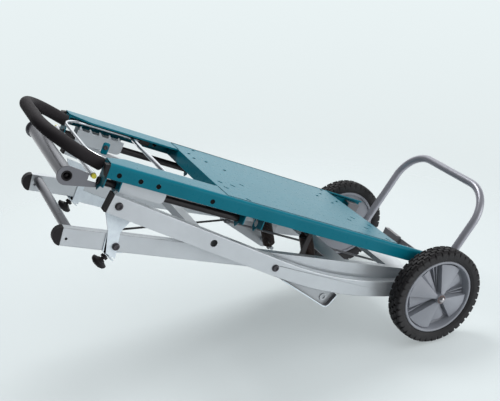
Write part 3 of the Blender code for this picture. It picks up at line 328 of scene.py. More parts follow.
# flat U: from the start at -half, round a corner to its reach, across, and back on the other side
def bow(start, reach, half, corner, steps):
    turn = np.linspace(0.0, math.pi / 2, steps)
    direction = 1.0 if reach > start else -1.0
    s = np.concatenate([[start], reach - direction * corner * (1.0 - np.sin(turn))])
    y = np.concatenate([[-half], -half + corner * (1.0 - np.cos(turn))])
    flat = np.stack([s, y], 1)
    return np.concatenate([flat, (flat * (1.0, -1.0))[::-1]])


# gives a piece its finish, its body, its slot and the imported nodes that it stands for
def place(obj, body, slot, *nodes, look=""):
    obj.data.materials.clear()
    obj.data.materials.append(finishes[look or slot])
    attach(obj, body)
    if nodes:
        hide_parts(*nodes)
    return obj


slotOf = {}
for node, solid in frame["nodes"].items():
    held = [m.name.split(".")[0] for m in solid.data.materials if m]
    slotOf[node] = held[0] if held and held[0] in finishes else "grey_paint"
print("slots", sorted(set(slotOf.values())))


# nodes that look otherwise than their slot: the rear frame and foot tube take a darkened copy of the grey paint
# and the gussets another, both painted shade; the latch block a dark grey paint
ownLooks = {"rear_frame": "tube_paint", "foot_tube": "tube_paint", "gusset_near": "gusset_paint",
            "gusset_far": "gusset_paint", "latch_block": "dark_paint"}
# edges sharper than the angle are rounded, where every edge beside them is longer than the radius by the
# room share; the wide radius goes only between faces over the area; degrees and square metres
pressing = {"angle": 33.0, "room": 1.7, "area": 0.0006, "wideSteps": 4, "fineSteps": 2, "shade": 42.0,
            "flat": 1.2, "bracketFlat": 0.05}


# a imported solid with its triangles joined, its long corners rounded by the wide radius
# and all its other outer edges by the fine one; the new faces carry the wear attribute
def dressed(node, wide, fine, flat):
    bm = bmesh.new()
    bm.from_mesh(frame["nodes"][node].data)
    bmesh.ops.remove_doubles(bm, verts=bm.verts[:], dist=2 * weldGap)
    bmesh.ops.dissolve_limit(bm, angle_limit=math.radians(flat), verts=bm.verts[:], edges=bm.edges[:])
    bmesh.ops.recalc_face_normals(bm, faces=bm.faces[:])
    wear = bm.loops.layers.float.new("wear")
    for radius, steps in ((wide, pressing["wideSteps"]), (fine, pressing["fineSteps"])):
        if radius == 0.0:
            continue
        chosen = []
        for edge in bm.edges:
            if len(edge.link_faces) != 2 or not edge.is_convex:
                continue
            if edge.calc_face_angle() < math.radians(pressing["angle"]):
                continue
            if radius == wide and min(face.calc_area() for face in edge.link_faces) < pressing["area"]:
                continue
            around = [other.calc_length() for vert in edge.verts for other in vert.link_edges]
            if min(around) < pressing["room"] * radius:
                continue
            chosen.append(edge)
        if chosen:
            made = bmesh.ops.bevel(bm, geom=chosen, offset=radius, offset_type="OFFSET", segments=steps,
                                   profile=0.5, affect="EDGES", clamp_overlap=False)
            for face in made["faces"]:
                for loop in face.loops:
                    loop[wear] = 1.0
    name = plainName(node)
    mesh = bpy.data.meshes.new(name)
    bm.to_mesh(mesh)
    bm.free()
    obj = bpy.data.objects.new(name, mesh)
    bpy.context.scene.collection.objects.link(obj)
    mesh.polygons.foreach_set("use_smooth", [True] * len(mesh.polygons))
    mesh.set_sharp_from_angle(angle=math.radians(pressing["shade"]))
    weights = obj.modifiers.new("weights", "WEIGHTED_NORMAL")
    weights.keep_sharp = True
    bpy.context.view_layer.update()
    finished = bpy.data.meshes.new_from_object(obj.evaluated_get(bpy.context.evaluated_depsgraph_get()))
    obj.modifiers.clear()
    obj.data = finished
    place(obj, frame["nodes"][node]["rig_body"], slotOf[node], node, look=ownLooks.get(node, ""))


# wide and fine radius by the start of the node's name
bevels = {
    "table_plate": (0.0016, 0.0006), "rail": (0.0, 0.0006), "rail_cap": (0.0012, 0.0012),
    "guide_tube": (0.0, 0.0004), "guide_bracket": (0.0, 0.0008), "rear_frame": (0.0, 0.0008),
    "handle_tube": (0.0, 0.0004), "tie_tube": (0.0, 0.0003), "tie_plug": (0.0, 0.001),
    "end_plate": (0.0, 0.0007), "latch_block": (0.0016, 0.0016), "hinge_lug": (0.0, 0.0007),
    "latch_guide": (0.001, 0.001), "release_bail": (0.0, 0.0), "foot_tube": (0.0, 0.0004),
    "cross_channel": (0.0, 0.0008), "cross_member": (0.0, 0.0008), "link_rod": (0.0, 0.0005),
    "leg_b": (0.0028, 0.0005), "foot_cap": (0.0016, 0.0016), "foot_bracket": (0.0, 0.0007),
    "leg_a": (0.0030, 0.0005), "leg_a_cap": (0.0014, 0.0014), "gusset": (0.0, 0.0006),
    "cross_bar": (0.0, 0.0005), "pull_rod": (0.0, 0.0005), "carriage": (0.0, 0.0007),
}
for node in sorted(frame["nodes"]):
    found = [key for key in bevels if node.startswith(key)]
    if found:
        wide, fine = bevels[max(found, key=len)]
        dressed(node, wide, fine, pressing["bracketFlat" if node.startswith("foot_bracket") else "flat"])

# the spring's anchor on each leg is blackened
anchor = {"x": 0.6545, "reach": 0.022, "inner": 0.1818}
for tag, side in sides:
    mesh = bpy.data.objects["legB" + tag.capitalize()].data
    mesh.materials.append(finishes["black_steel"])
    for polygon in mesh.polygons:
        middle = polygon.center
        if abs(middle.x - railStart - anchor["x"]) < anchor["reach"] and abs(middle.y) < anchor["inner"]:
            polygon.material_index = 1


handle = {"half": 0.1846, "reach": -0.1548, "corner": 0.1229, "level": -0.0226, "riseShare": 0.233,
          "start": -0.0040, "radius": 0.0165, "soften": 0.22, "steps": 26, "count": 32}


# soft grip: path (x, y, level - riseShare x) along the bow
def makeGrip():
    flat = bow(handle["start"], handle["reach"], handle["half"], handle["corner"], handle["steps"])
    path = [at(x, y, handle["level"] - handle["riseShare"] * x) for x, y in flat]
    place(tube("handleGrip", path, handle["radius"], handle["count"], handle["soften"]), "table", "black_foam",
          "handle_foam")


loop = {"baseX": 1.1185, "baseZ": -0.1105, "half": 0.2117, "length": 0.344, "corner": 0.1026, "radius": 0.0125,
        "soften": 0.12, "steps": 24, "count": 32, "tilt": math.radians(77.8)}


# tube bent to a U that leans back by the tilt: (baseX + s cos t, y, baseZ + s sin t)
def makeLoop():
    flat = bow(0.0, loop["length"], loop["half"], loop["corner"], loop["steps"])
    path = [at(loop["baseX"] + s * math.cos(loop["tilt"]), y, loop["baseZ"] + s * math.sin(loop["tilt"]))
            for s, y in flat]
    place(tube("pullLoop", path, loop["radius"], loop["count"], loop["soften"]), "leg_a", "loop_metal",
          "loop_tube")


rim = {"start": (0.600, -0.19274), "corner": (0.7800, -0.2448), "end": (0.7990, -0.1985), "round": 0.018,
       "steps": 10, "wall": 0.0033, "inner": 0.2068, "outer": 0.2225, "upward": 0.25}


# flange round the gusset's lower edge: a flat strip along the rounded line. It takes the pale zinc finish
# instead of its grey paint, a painted highlight, and its inner, upward faces take the dark paint as painted
# shade
def makeRim(tag, side):
    line = rounded([rim["start"], rim["corner"], rim["end"]], rim["round"], rim["steps"])
    along = np.gradient(line, axis=0)
    along /= np.linalg.norm(along, axis=1)[:, None]
    inside = line + np.stack([-along[:, 1], along[:, 0]], 1) * rim["wall"]
    corners = [(line, rim["inner"]), (line, rim["outer"]), (inside, rim["outer"]), (inside, rim["inner"])]
    ring = np.stack([np.stack([xz[:, 0] + railStart, np.full(len(xz), side * y), xz[:, 1]], 1)
                     for xz, y in corners], 1)
    ends = [np.repeat(ring[i:i + 1].mean(1, keepdims=True), 4, 1) for i in (0, len(ring) - 1)]
    obj = surface("gussetRim" + tag.capitalize(), np.concatenate([ends[0], ring, ends[1]]))
    place(obj, "leg_a", "grey_paint", look="zinc_plate")
    # the dark paint on the upward inner faces is painted shade
    obj.data.materials.append(finishes["dark_paint"])
    for polygon in obj.data.polygons:
        if polygon.normal.z > rim["upward"]:
            polygon.material_index = 1


sleeve = {"x": 0.190, "level": -0.012, "half": 0.150, "radius": 0.0060, "soften": 0.15}


# straight sleeve on the bar that holds the hooks down
def makeSleeve():
    ends = [at(sleeve["x"], y, sleeve["level"]) for y in (-sleeve["half"], sleeve["half"])]
    place(tube("latchBarSleeve", ends, sleeve["radius"], soften=sleeve["soften"]), "bail", "bright_rod")


makeGrip()
makeLoop()
makeSleeve()
for tag, side in sides:
    makeRim(tag, side)
print("handle, loop, sleeve and rims")


spring = {"lowX": 0.7610, "lowZ": -0.2160, "highX": 0.6545, "highZ": -0.0590, "off": 0.150, "radius": 0.0178,
          "wire": 0.00225, "count": 8, "soften": 0.2, "pitch": 0.005375, "curls": 32, "points": 20,
          "pin": 0.0089, "hookTurn": (-0.1, 1.45), "hookPoints": 12, "hookLean": 0.003, "ease": 0.6,
          "easePoints": 7}


# close coil: axis point + r (u cos a + v sin a), a from 0 to 2 pi curls, then a smooth run to a hook
# that goes three quarters round each pin
def makeSpring(tag, side):
    low = at(spring["lowX"], side * spring["off"], spring["lowZ"])
    high = at(spring["highX"], side * spring["off"], spring["highZ"])
    axis = (high - low) / np.linalg.norm(high - low)
    u = np.array([0.0, 1.0, 0.0])
    v = np.cross(axis, u)
    length = spring["curls"] * spring["pitch"]
    start = (low + high) / 2 - axis * length / 2
    share = np.linspace(0.0, 1.0, spring["curls"] * spring["points"] + 1)
    turn = share * math.tau * spring["curls"]
    coil = (start + axis * (length * share)[:, None]
            + spring["radius"] * (u * np.cos(turn)[:, None] + v * np.sin(turn)[:, None]))
    hooks = []
    for pin, sign in ((low, -1.0), (high, 1.0)):
        angle = np.linspace(*spring["hookTurn"], spring["hookPoints"]) * math.pi
        lean = np.linspace(spring["hookLean"], -spring["hookLean"], spring["hookPoints"])
        hooks.append(pin + spring["pin"] * (-v * np.cos(angle)[:, None] + sign * axis * np.sin(angle)[:, None])
                     + u * lean[:, None])
    path = np.concatenate([hooks[0][::-1], coil, hooks[1]])
    joins = (len(hooks[0]), len(hooks[0]) + len(coil))
    runs = []
    for i in joins:
        a, b = path[i - 1], path[i]
        da, db = a - path[i - 2], path[i + 1] - b
        da, db = da / np.linalg.norm(da), db / np.linalg.norm(db)
        reach = spring["ease"] * np.linalg.norm(b - a)
        t = np.linspace(0.0, 1.0, spring["easePoints"] + 2)[1:-1, None]
        runs.append((1 - t) ** 3 * a + 3 * t * (1 - t) ** 2 * (a + da * reach)
                    + 3 * t ** 2 * (1 - t) * (b - db * reach) + t ** 3 * b)
    path = np.concatenate([path[:joins[0]], runs[0], path[joins[0]:joins[1]], runs[1], path[joins[1]:]])
    obj = tube("spring" + tag.capitalize(), path, spring["wire"], spring["count"], spring["soften"])
    obj.data.materials.append(finishes["spring_steel"])
    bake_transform(obj)
    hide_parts("spring_" + tag)


for tag, side in sides:
    makeSpring(tag, side)
print("springs")


boltHead = {"radius": 0.0104, "height": 0.0048, "face": 0.2348, "dish": 0.0045, "dishDepth": 0.0022,
            "taper": 0.74, "wall": 0.55, "round": 0.0016, "steps": 3, "count": 40}
# rows of (distance from the middle of the machine, radius) inside each head
boltRows = {
    "top": [(0.2025, 0.0), (0.2025, 0.010), (0.2055, 0.010), (0.2055, 0.007)],
    "pivot": [(0.172, 0.0), (0.172, 0.013), (0.1797, 0.013), (0.1797, 0.008), (0.2003, 0.008), (0.2003, 0.014),
              (0.2063, 0.014), (0.2063, 0.008)],
    "foot": [(0.2030, 0.0), (0.2030, 0.0096)],
    "rearPlug": [(0.170, 0.0), (0.170, 0.0126), (0.1885, 0.0126), (0.1905, 0.0136), (0.1912, 0.0125),
                 (0.1905, 0.0092), (0.179, 0.0084), (0.179, 0.0040), (0.187, 0.0032), (0.187, 0.0)],
}
boltSpots = {"top": at(0.057, 0.0, -0.098), "pivot": at(0.552, 0.0, -0.157), "foot": at(0.101, 0.0, -0.211),
             "rearPlug": at(-0.078, 0.0, -0.070)}


# bolt through a joint, turned from its rows with their corners rounded
def makeBolt(name, rows, spot, side, body, slot, *nodes):
    line = rounded(rows, boltHead["round"], boltHead["steps"])
    line = np.stack([side * line[:, 0], line[:, 1]], 1)
    place(turned(name, line, spot, count=boltHead["count"]), body, slot, *nodes)


# head on a face: a straight wall, a taper and a shallow dish
def headRows(shank, face=boltHead["face"], height=boltHead["height"], head=boltHead["radius"],
             depth=boltHead["dishDepth"]):
    dish = boltHead["dish"]
    return [(face, shank), (face, head), (face + height * boltHead["wall"], head),
            (face + height, head * boltHead["taper"]), (face + height, dish), (face + height - depth, dish),
            (face + height - depth, 0.0)]


axle = {"spot": at(1.0856, 0.0, -0.1036), "cap": [
    (-0.3255, 0.0), (-0.3252, 0.0030), (-0.3240, 0.0060), (-0.3222, 0.0084), (-0.3198, 0.0098),
    (-0.3170, 0.0100), (-0.3170, 0.0080)], "ring": [
    (0.3164, 0.0102), (0.3176, 0.0104), (0.3184, 0.0115), (0.3182, 0.0128), (0.3168, 0.0137), (0.3152, 0.0138)]}
for tag, side in sides:
    title = tag.capitalize()
    makeBolt("topBolt" + title, boltRows["top"] + headRows(0.007), boltSpots["top"], side, "leg_a",
             "plated_bolt", "top_bolt_" + tag)
    makeBolt("pivotBolt" + title, boltRows["pivot"] + headRows(0.008), boltSpots["pivot"], side, "leg_b",
             "plated_bolt", "pivot_bolt_" + tag)
    makeBolt("footBolt" + title, boltRows["foot"] + headRows(0.0096, 0.2036, 0.0076, 0.0100, 0.0016)[1:],
             boltSpots["foot"], side, "leg_b", "plated_bolt")
    makeBolt("rearPlug" + title, boltRows["rearPlug"], boltSpots["rearPlug"], side, "table", "black_rubber",
             "rear_plug_" + tag)
axleRows = axle["cap"] + [(-d, r) for d, r in reversed(axle["cap"])]
place(turned("axleRod", axleRows, axle["spot"]), "leg_a", "bright_rod", "axle", look="axle_cap")
for tag, side in sides:
    ring = np.array([(side * d, r) for d, r in axle["ring"]])
    place(turned("capRing" + tag.capitalize(), ring, axle["spot"], closed=True), "wheel_" + tag, "plated_bolt",
          look="cap_ring")
print("bolts and axle")


# near-black discs in the rails' side holes: painted shade for their dark insides
plug = {"spots": (0.029, 0.087, 0.136, 0.292), "level": -0.024, "count": 32, "rows": [
    (0.2322, 0.0), (0.2322, 0.0062), (0.2349, 0.0062), (0.2352, 0.0056), (0.2340, 0.0048), (0.2338, 0.0)]}
for tag, side in sides:
    line = np.array([(side * d, r) for d, r in plug["rows"]])
    parts = [turned("plug", line, at(x, 0.0, plug["level"]), count=plug["count"]) for x in plug["spots"]]
    with bpy.context.temp_override(active_object=parts[0], selected_editable_objects=parts):
        bpy.ops.object.join()
    parts[0].name = "railPlugs" + tag.capitalize()
    place(parts[0], "table", "black_rubber", look="hole_black")

# a thin dark strip along the joint between the plate and the flange of each rail: painted shadow of the gap
# there
seam = {"start": 0.3337, "end": 0.928, "inner": 0.1554, "crease": 0.2220, "radius": 0.0009, "corner": 0.003,
        "count": 10}
for tag, side in sides:
    path = rounded([at(seam["start"], side * seam["inner"], 0.0), at(seam["start"], side * seam["crease"], 0.0),
                    at(seam["end"], side * seam["crease"], 0.0)], seam["corner"])
    place(tube("plateSeam" + tag.capitalize(), path, seam["radius"], seam["count"]), "table", "teal_paint",
          look="seam_shadow")

# ear with its bolt on the inner edge of the near rail; layers hold (share of the outline, share of the depth)
ear = {"outline": ((-0.0125, 0.001), (-0.0130, 0.027), (-0.0100, 0.031), (0.0020, 0.031), (0.0045, 0.028),
                   (0.0045, 0.001)), "corner": 0.004, "inner": 0.1685, "outer": 0.1715,
       "layers": ((0.0, 0.0), (0.93, 0.0), (1.0, 0.18), (1.0, 0.82), (0.93, 1.0), (0.0, 1.0)),
       "bolt": (-0.0045, 0.0185), "boltRound": 0.0006, "boltSteps": 2, "boltCount": 32,
       "boltRows": [(0.1690, 0.0), (0.1690, 0.0060), (0.1740, 0.0060), (0.1748, 0.0048), (0.1748, 0.0026),
                    (0.1735, 0.0024), (0.1735, 0.0)]}


# flat plate in the xz plane with softened corners and rims
def makeEar():
    flat = rounded([np.array((x, 0.0, z)) for x, z in ear["outline"]], ear["corner"], closed=True)
    middle = flat.mean(0)
    rows = []
    for share, depth in ear["layers"]:
        row = middle + (flat - middle) * share
        row[:, 1] = -ear["outer"] + (ear["outer"] - ear["inner"]) * depth
        rows.append(row + (railStart, 0.0, 0.0))
    place(surface("railEar", np.array(rows)), "table", "teal_paint")
    head = rounded(ear["boltRows"], ear["boltRound"], ear["boltSteps"])
    head[:, 0] = -head[:, 0]
    x, z = ear["bolt"]
    place(turned("earBolt", head, at(x, 0.0, z), count=ear["boltCount"]), "table", "plated_bolt")


makeEar()
print("plugs and ear")


# levelling foot: rows of (distance along the stud, radius), from its tip to the pad
foot = {"x": 0.0925, "z": -0.2405, "off": 0.190, "angle": math.radians(242), "round": 0.0006, "steps": 2,
        "rows": [
            (-0.007, 0.0), (-0.007, 0.0042), (-0.0062, 0.005), (0.0063, 0.005), (0.0063, 0.0098),
            (0.0135, 0.0098), (0.0135, 0.005), (0.0172, 0.005), (0.0175, 0.0085), (0.0205, 0.0120),
            (0.0240, 0.0212), (0.0262, 0.0222), (0.0300, 0.0218), (0.0345, 0.0190), (0.0388, 0.0110),
            (0.0390, 0.0)]}
stud = (math.cos(foot["angle"]), 0.0, math.sin(foot["angle"]))
for tag, side in sides:
    line = rounded(foot["rows"], foot["round"], foot["steps"])
    place(turned("levellingFoot" + tag.capitalize(), line, at(foot["x"], side * foot["off"], foot["z"]), stud),
          "foot_" + tag, "black_rubber", "levelling_foot_" + tag)
print("feet")


# half widths and radii of the tyre's section, half widths of its rows of blocks, the part of a pitch that
# stands up, the direction (across, outwards) in which the outermost blocks rise, and a distance past all rows
tyre = {"pitches": 40, "block": 0.0044, "inner": 0.1166, "step": 0.0022, "corner": 0.004, "tread": 0.1335,
        "shoulders": ((0.0215, 0.1205), (0.0245, 0.1275)), "bulge": 0.1330, "cheek": (0.0246, 0.1400),
        "edge": 0.0205, "edgeDrop": 0.0012, "bead": 0.0195,
        "centreRow": 0.0048, "middleRow": (0.0066, 0.0150), "sideRow": 0.0168, "rowSoft": 0.0012,
        "pitchPart": (0.09, 0.91), "pitchSoft": 0.05, "sideRise": 0.0015,
        "leanFrom": 0.0165, "lean": (0.45, 0.9), "past": 0.1,
        "shares": (0.0, 0.09, 0.14, 0.25, 0.36, 0.41, 0.5, 0.59, 0.64, 0.75, 0.86, 0.91),
        "ridge": 0.0007, "ridgeRadius": 0.1262, "ridgeWidth": 0.0012, "ridgeFrom": 0.02, "bulgeIn": 0.0003,
        "shade": 35.0}


# 1 between low and high, falling to 0 at them over the soft distance
def blockMask(value, low, high, soft):
    return np.clip((value - low) / soft, 0.0, 1.0) * np.clip((high - value) / soft, 0.0, 1.0)


# tyre: rings of a section swept round the axle. The section is a closed line in (across, radius);
# its tread is raised by the block height where both the row mask and the pitch mask say block.
def makeTyre(tag, side):
    low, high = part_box("tyre_" + tag)
    centre = (np.array(low) + np.array(high)) / 2
    outer = (high[0] - low[0]) / 2
    half = (high[1] - low[1]) / 2
    top = outer - tyre["block"]
    rightSide = [*tyre["shoulders"], (half - tyre["bulgeIn"], tyre["bulge"]), tyre["cheek"],
                 (tyre["edge"], top - tyre["edgeDrop"])]
    leftSide = [(-a, r) for a, r in reversed(rightSide)]
    section = rounded([(-tyre["bead"], tyre["inner"]), (tyre["bead"], tyre["inner"]), *rightSide, (0.0, top),
                       *leftSide], tyre["corner"], closed=True)
    length = np.concatenate([[0.0], np.cumsum(np.linalg.norm(np.diff(section, axis=0), axis=1))])
    marks = np.arange(0.0, length[-1], tyre["step"])
    across, radius = (np.interp(marks, length, section[:, i]) for i in (0, 1))
    shares = np.array(tyre["shares"])
    turn = ((np.arange(tyre["pitches"])[:, None] + shares) / tyre["pitches"]).ravel() * math.tau
    phase = np.tile(shares, tyre["pitches"])
    tread = radius > tyre["tread"]
    away = np.abs(across)
    evenPitch = blockMask(phase, *tyre["pitchPart"], tyre["pitchSoft"])
    oddPitch = blockMask((phase + 0.5) % 1.0, *tyre["pitchPart"], tyre["pitchSoft"])
    centreRow = blockMask(away, -tyre["past"], tyre["centreRow"], tyre["rowSoft"])
    middleRow = blockMask(away, *tyre["middleRow"], tyre["rowSoft"])
    sideRow = np.where(tread, blockMask(away, tyre["sideRow"], tyre["past"], tyre["rowSoft"]), 0.0)
    sideRow = sideRow * np.clip((radius - tyre["tread"]) / tyre["sideRise"], 0.0, 1.0)
    raised = (centreRow[None] * evenPitch[:, None] + middleRow[None] * oddPitch[:, None]
              + sideRow[None] * evenPitch[:, None]) * tread[None]
    raised = raised * tyre["block"]
    leaning = away > tyre["leanFrom"]
    sideways = np.where(leaning, np.sign(across) * tyre["lean"][0], 0.0)
    outwards = np.where(leaning, tyre["lean"][1], 1.0)
    ridge = tyre["ridge"] * np.exp(-((radius - tyre["ridgeRadius"]) / tyre["ridgeWidth"]) ** 2)
    ridge = ridge * (away > tyre["ridgeFrom"])
    ringAcross = across[None] + np.sign(across)[None] * ridge[None] + raised * sideways[None]
    ringAcross = np.clip(ringAcross, -half, half)
    ringRadius = radius[None] + raised * outwards[None]
    points = np.stack([centre[0] + ringRadius * np.cos(turn)[:, None], centre[1] + ringAcross,
                       centre[2] + ringRadius * np.sin(turn)[:, None]], 2)
    obj = surface("tyre" + tag.capitalize(), points, True, True, tyre["shade"])
    place(obj, "wheel_" + tag, "tyre_rubber", "tyre_" + tag)


# The face of the hub, clockwise from the top as the near side shows it: start and end angle, kind,
# outer radius and the angles of its ribs. Levels are heights over the middle plane of the wheel, folds are
# (share of the sector's turn, height), and a cone falls from its first level at the boss to its second.
hub = {
    "sectors": (
        (111, 67, "vane", 0.1045, ()), (67, 39, "shelf", 0.0920, ()), (39, 15, "well", 0.0, (26, 19)),
        (15, -33, "vane", 0.1045, ()), (-33, -40, "well", 0.0, ()), (-40, -78, "shelf", 0.0860, ()),
        (-78, -125, "vane", 0.1045, ()), (-125, -139, "well", 0.0, (-133,)), (-139, -168, "shelf", 0.0920, ()),
        (-168, -208, "vane", 0.1045, ()), (-208, -228, "shelf", 0.0920, ()),
        (-228, -249, "well", 0.0, (-236, -243))),
    "rings": np.array([
        0.0084, 0.0100, 0.0138, 0.0146, 0.0156, 0.0185, 0.024, 0.036, 0.050, 0.064, 0.078, 0.0858, 0.0864,
        0.0918, 0.0924, 0.0985, 0.1035, 0.1045, 0.1060, 0.1075, 0.1082, 0.1095, 0.1115, 0.1138, 0.1155,
        0.1163]),
    "rimLevels": (0.0030, 0.0090, 0.0150, 0.0178, 0.0196, 0.0204, 0.0203, 0.0192, 0.0170),
    "foldShares": (0.0, 0.28, 0.62, 1.0),
    "folds": {"vane": (0.0005, 0.0028, 0.0006, -0.0052), "shelf": (-0.0045, 0.0006, -0.0010, -0.0060)},
    "cone": {"vane": (0.0300, 0.0128), "shelf": (0.0150, 0.0035)},
    "turnShares": (0.0, 0.07, 0.14, 0.28, 0.45, 0.62, 0.80, 0.93, 1.0),
    "backRings": (0.0084, 0.0200, 0.0202, 0.0240, 0.1000, 0.1060, 0.1075, 0.1110, 0.1163),
    "backLevels": (-0.024, -0.024, -0.023, -0.0145, -0.0125, -0.0140, -0.0190, -0.0203, -0.0170),
    "centre": 0.2825, "boss": 0.0340, "bossEdge": 0.0150, "rimStart": 0.1045, "skirtStart": 0.1030,
    "well": -0.0100, "rib": 0.0015, "ribRise": 0.006, "skirt": -0.0060, "edge": 0.35, "ribHalf": 0.9,
    "shade": 24.0}


# height of a sector at one share of its turn: a cone that falls outwards, folded along its length
def sectorColumn(kind, share, reach, raised):
    column = []
    for r in hub["rings"]:
        if r < hub["bossEdge"]:
            column.append(hub["boss"])
        elif r >= hub["rimStart"]:
            column.append(hub["rimLevels"][int(np.searchsorted(hub["rings"], r)) - len(hub["rings"])])
        else:
            level = hub["well"]
            out = (r - hub["bossEdge"]) / (hub["rimStart"] - hub["bossEdge"])
            if kind in hub["cone"] and r < reach:
                high, low = hub["cone"][kind]
                fold = np.interp(share, hub["foldShares"], hub["folds"][kind])
                level = high + (low - high) * out + fold * r / hub["rimStart"]
            elif raised and r < hub["skirtStart"]:
                level = hub["rib"] + hub["ribRise"] * (1.0 - out)
            column.append(max(level, hub["skirt"]) if r > hub["skirtStart"] else level)
    return column


# hub: two height fields over (turn, radius), an outer face with raised folded vanes, stepped shelves and
# thin ribs in the wells, and a plainer inner face, joined round the rim and the bore
def makeHub(tag, side):
    low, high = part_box("hub_" + tag)
    centre = (np.array(low) + np.array(high)) / 2
    centre[1] = side * hub["centre"]
    edge, ribHalf = hub["edge"], hub["ribHalf"]
    turns, heights = [], []
    for start, end, kind, reach, ribs in hub["sectors"]:
        start, end = start - edge, end + edge
        if kind == "well":
            stops = [start]
            for rib in ribs:
                stops += [rib + ribHalf + edge, rib + ribHalf, rib - ribHalf, rib - ribHalf - edge]
            stops.append(end)
            for i, stop in enumerate(stops):
                turns.append(stop)
                heights.append(sectorColumn(kind, 0.0, reach, i % 4 in (2, 3) and 0 < i < len(stops) - 1))
        else:
            for share in hub["turnShares"]:
                turns.append(start + (end - start) * share)
                heights.append(sectorColumn(kind, share, reach, False))
    turns = np.radians(np.array(turns))
    face = np.array(heights)
    back = np.interp(hub["rings"], hub["backRings"], hub["backLevels"])
    back = np.repeat(back[None], len(turns), 0)
    radius = np.concatenate([hub["rings"], hub["rings"][::-1]])
    level = np.concatenate([face, back[:, ::-1]], 1) * side
    points = np.stack([centre[0] + radius[None] * np.cos(turns)[:, None], centre[1] + level,
                       centre[2] + radius[None] * np.sin(turns)[:, None]], 2)
    obj = surface("hub" + tag.capitalize(), points, True, True, hub["shade"])
    place(obj, "wheel_" + tag, "hub_plastic", "hub_" + tag)


for tag, side in sides:
    makeTyre(tag, side)
    makeHub(tag, side)
print("wheels")


# The stand is held up by its grip: the floor under its wheels leans by this slope along x.
# The backdrop shows through it by the thin share, wholly from the gone distance on and from below.
# It also opens where a leg or wheel lies within the given depth under it, as when the stand is set up:
# it is shut where the share of free rays below it is over "shut", and gone where it is under "open".
floor = {"radius": 4.0, "rings": 24, "spokes": 96, "touch": (0.5184, -0.2440), "slope": 0.4626, "clear": 0.75,
         "gone": 2.1, "thin": 0.40, "depth": 1.2, "samples": 24, "shut": 0.999, "open": 0.96,
         "colour": (0.82, 0.885, 0.895), "rough": 0.9}


def makeFloor():
    turn = np.arange(floor["spokes"]) * (math.tau / floor["spokes"])
    radius = np.linspace(0.0, floor["radius"], floor["rings"])
    x = radius[:, None] * np.cos(turn)
    y = radius[:, None] * np.sin(turn)
    points = np.stack([x, y, floor["touch"][1] + floor["slope"] * (x - floor["touch"][0])], 2)
    obj = surface("studioFloor", points, False, True)
    obj.data.flip_normals()
    material = bpy.data.materials.new("studio_floor")
    material.use_nodes = True
    tree = material.node_tree
    link = tree.links.new

    def ranged(value, low, high, atLow, atHigh, curve):
        item = tree.nodes.new("ShaderNodeMapRange")
        item.interpolation_type = curve
        for key, number in (("From Min", low), ("From Max", high), ("To Min", atLow), ("To Max", atHigh)):
            item.inputs[key].default_value = number
        link(value, item.inputs["Value"])
        return item.outputs["Result"]

    def larger(one, other):
        item = tree.nodes.new("ShaderNodeMath")
        item.operation = "MAXIMUM"
        link(one, item.inputs[0])
        link(other, item.inputs[1])
        return item.outputs["Value"]

    shader = tree.nodes["Principled BSDF"]
    shader.inputs["Base Color"].default_value = (*floor["colour"], 1.0)
    shader.inputs["Roughness"].default_value = floor["rough"]
    shader.inputs["Specular IOR Level"].default_value = 0.0
    coords = tree.nodes.new("ShaderNodeTexCoord")
    distance = tree.nodes.new("ShaderNodeVectorMath")
    distance.operation = "LENGTH"
    link(coords.outputs["Object"], distance.inputs[0])
    side = tree.nodes.new("ShaderNodeNewGeometry")
    nearby = tree.nodes.new("ShaderNodeAmbientOcclusion")
    nearby.inside = True
    nearby.samples = floor["samples"]
    nearby.inputs["Distance"].default_value = floor["depth"]
    fade = ranged(distance.outputs["Value"], floor["clear"], floor["gone"], floor["thin"], 1.0, "SMOOTHERSTEP")
    opened = ranged(nearby.outputs["AO"], floor["open"], floor["shut"], 1.0, 0.0, "LINEAR")
    clear = tree.nodes.new("ShaderNodeBsdfTransparent")
    mix = tree.nodes.new("ShaderNodeMixShader")
    link(larger(larger(fade, side.outputs["Backfacing"]), opened), mix.inputs["Fac"])
    link(shader.outputs["BSDF"], mix.inputs[1])
    link(clear.outputs["BSDF"], mix.inputs[2])
    link(mix.outputs["Shader"], tree.nodes["Material Output"].inputs["Surface"])
    obj.data.materials.append(material)
    return obj


# each part of the surroundings is a soft step along an axis: (axis, start, end, colour before, colour after);
# the camera sees the backdrop, glossy rays see the two bright cards and all other rays the broad light
surround = {
    "backdrop": ((-0.35, 0.10, 0.93), -0.45, 0.20, (0.735, 0.795, 0.805), (0.865, 0.945, 0.955)),
    "broad": ((0.60, -0.48, 0.64), -0.40, 0.65, (0.02, 0.02, 0.025), (1.02, 1.04, 1.06)),
    "cardBehind": ((0.52, 0.85, 0.05), 0.40, 0.86, (0.12, 0.12, 0.13), (1.30, 1.33, 1.35)),
    "cardFront": ((0.72, -0.66, -0.20), 0.55, 0.92, (0.0, 0.0, 0.0), (0.85, 0.87, 0.89)),
}


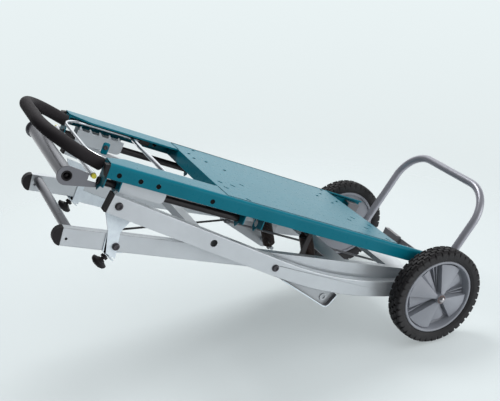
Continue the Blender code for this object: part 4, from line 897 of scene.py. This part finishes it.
def makeWorld():
    world = bpy.data.worlds.new("studio")
    bpy.context.scene.world = world
    world.use_nodes = True
    tree = world.node_tree
    tree.nodes.clear()
    link = tree.links.new
    output = tree.nodes.new("ShaderNodeOutputWorld")
    paths = tree.nodes.new("ShaderNodeLightPath")
    coords = tree.nodes.new("ShaderNodeTexCoord")

    def graded(axis, start, end, low, high):
        dot = tree.nodes.new("ShaderNodeVectorMath")
        dot.operation = "DOT_PRODUCT"
        dot.inputs[1].default_value = axis
        link(coords.outputs["Generated"], dot.inputs[0])
        share = tree.nodes.new("ShaderNodeMapRange")
        share.interpolation_type = "SMOOTHSTEP"
        share.inputs["From Min"].default_value = start
        share.inputs["From Max"].default_value = end
        link(dot.outputs["Value"], share.inputs["Value"])
        mix = tree.nodes.new("ShaderNodeMix")
        mix.data_type = "RGBA"
        link(share.outputs["Result"], mix.inputs["Factor"])
        mix.inputs[6].default_value = (*low, 1.0)
        mix.inputs[7].default_value = (*high, 1.0)
        back = tree.nodes.new("ShaderNodeBackground")
        link(mix.outputs[2], back.inputs["Color"])
        return back

    seen, lit, behind, front = (graded(*part) for part in surround.values())
    shine = tree.nodes.new("ShaderNodeAddShader")
    link(behind.outputs["Background"], shine.inputs[0])
    link(front.outputs["Background"], shine.inputs[1])
    first = tree.nodes.new("ShaderNodeMixShader")
    link(paths.outputs["Is Glossy Ray"], first.inputs["Fac"])
    link(lit.outputs["Background"], first.inputs[1])
    link(shine.outputs["Shader"], first.inputs[2])
    choose = tree.nodes.new("ShaderNodeMixShader")
    link(paths.outputs["Is Camera Ray"], choose.inputs["Fac"])
    link(first.outputs["Shader"], choose.inputs[1])
    link(seen.outputs["Background"], choose.inputs[2])
    link(choose.outputs["Shader"], output.inputs["Surface"])


lightTarget = (0.0, 0.0, -0.1)
lights = {"keyLight": {"spot": (2.2, -2.6, 1.6), "size": 2.4, "power": 26.0},
          "topLight": {"spot": (-1.3, 1.4, 2.5), "size": 1.6, "power": 58.0}}


def softLight(name, spot, size, power):
    data = bpy.data.lights.new(name, "AREA")
    data.shape = "DISK"
    data.size = size
    data.energy = power
    obj = bpy.data.objects.new(name, data)
    bpy.context.scene.collection.objects.link(obj)
    obj.location = spot
    obj.rotation_mode = "QUATERNION"
    obj.rotation_quaternion = (Vector(lightTarget) - Vector(spot)).to_track_quat("-Z", "Y")


# the photograph's viewpoint, solved from the table's edges and the wheels
camera = {"spot": (-1.38554, -2.12269, 0.46813), "right": (0.8282, -0.4096, 0.3828),
          "forward": (0.5083, 0.8365, -0.2047), "lens": 62.48, "sensor": 36.0, "near": 0.05, "far": 60.0}


def makeCamera():
    data = bpy.data.cameras.new("camera")
    data.lens = camera["lens"]
    data.sensor_width = camera["sensor"]
    data.sensor_fit = "HORIZONTAL"
    data.clip_start = camera["near"]
    data.clip_end = camera["far"]
    obj = bpy.data.objects.new("camera", data)
    bpy.context.scene.collection.objects.link(obj)
    right = Vector(camera["right"]).normalized()
    forward = Vector(camera["forward"])
    forward = (forward - right * forward.dot(right)).normalized()
    up = right.cross(forward)
    turn = Matrix((right, up, -forward)).transposed().to_4x4()
    obj.matrix_world = Matrix.Translation(camera["spot"]) @ turn
    bpy.context.scene.camera = obj


makeFloor()
makeWorld()
for name, light in lights.items():
    softLight(name, **light)
makeCamera()
bpy.context.scene.view_settings.view_transform = "Standard"
print("stage")
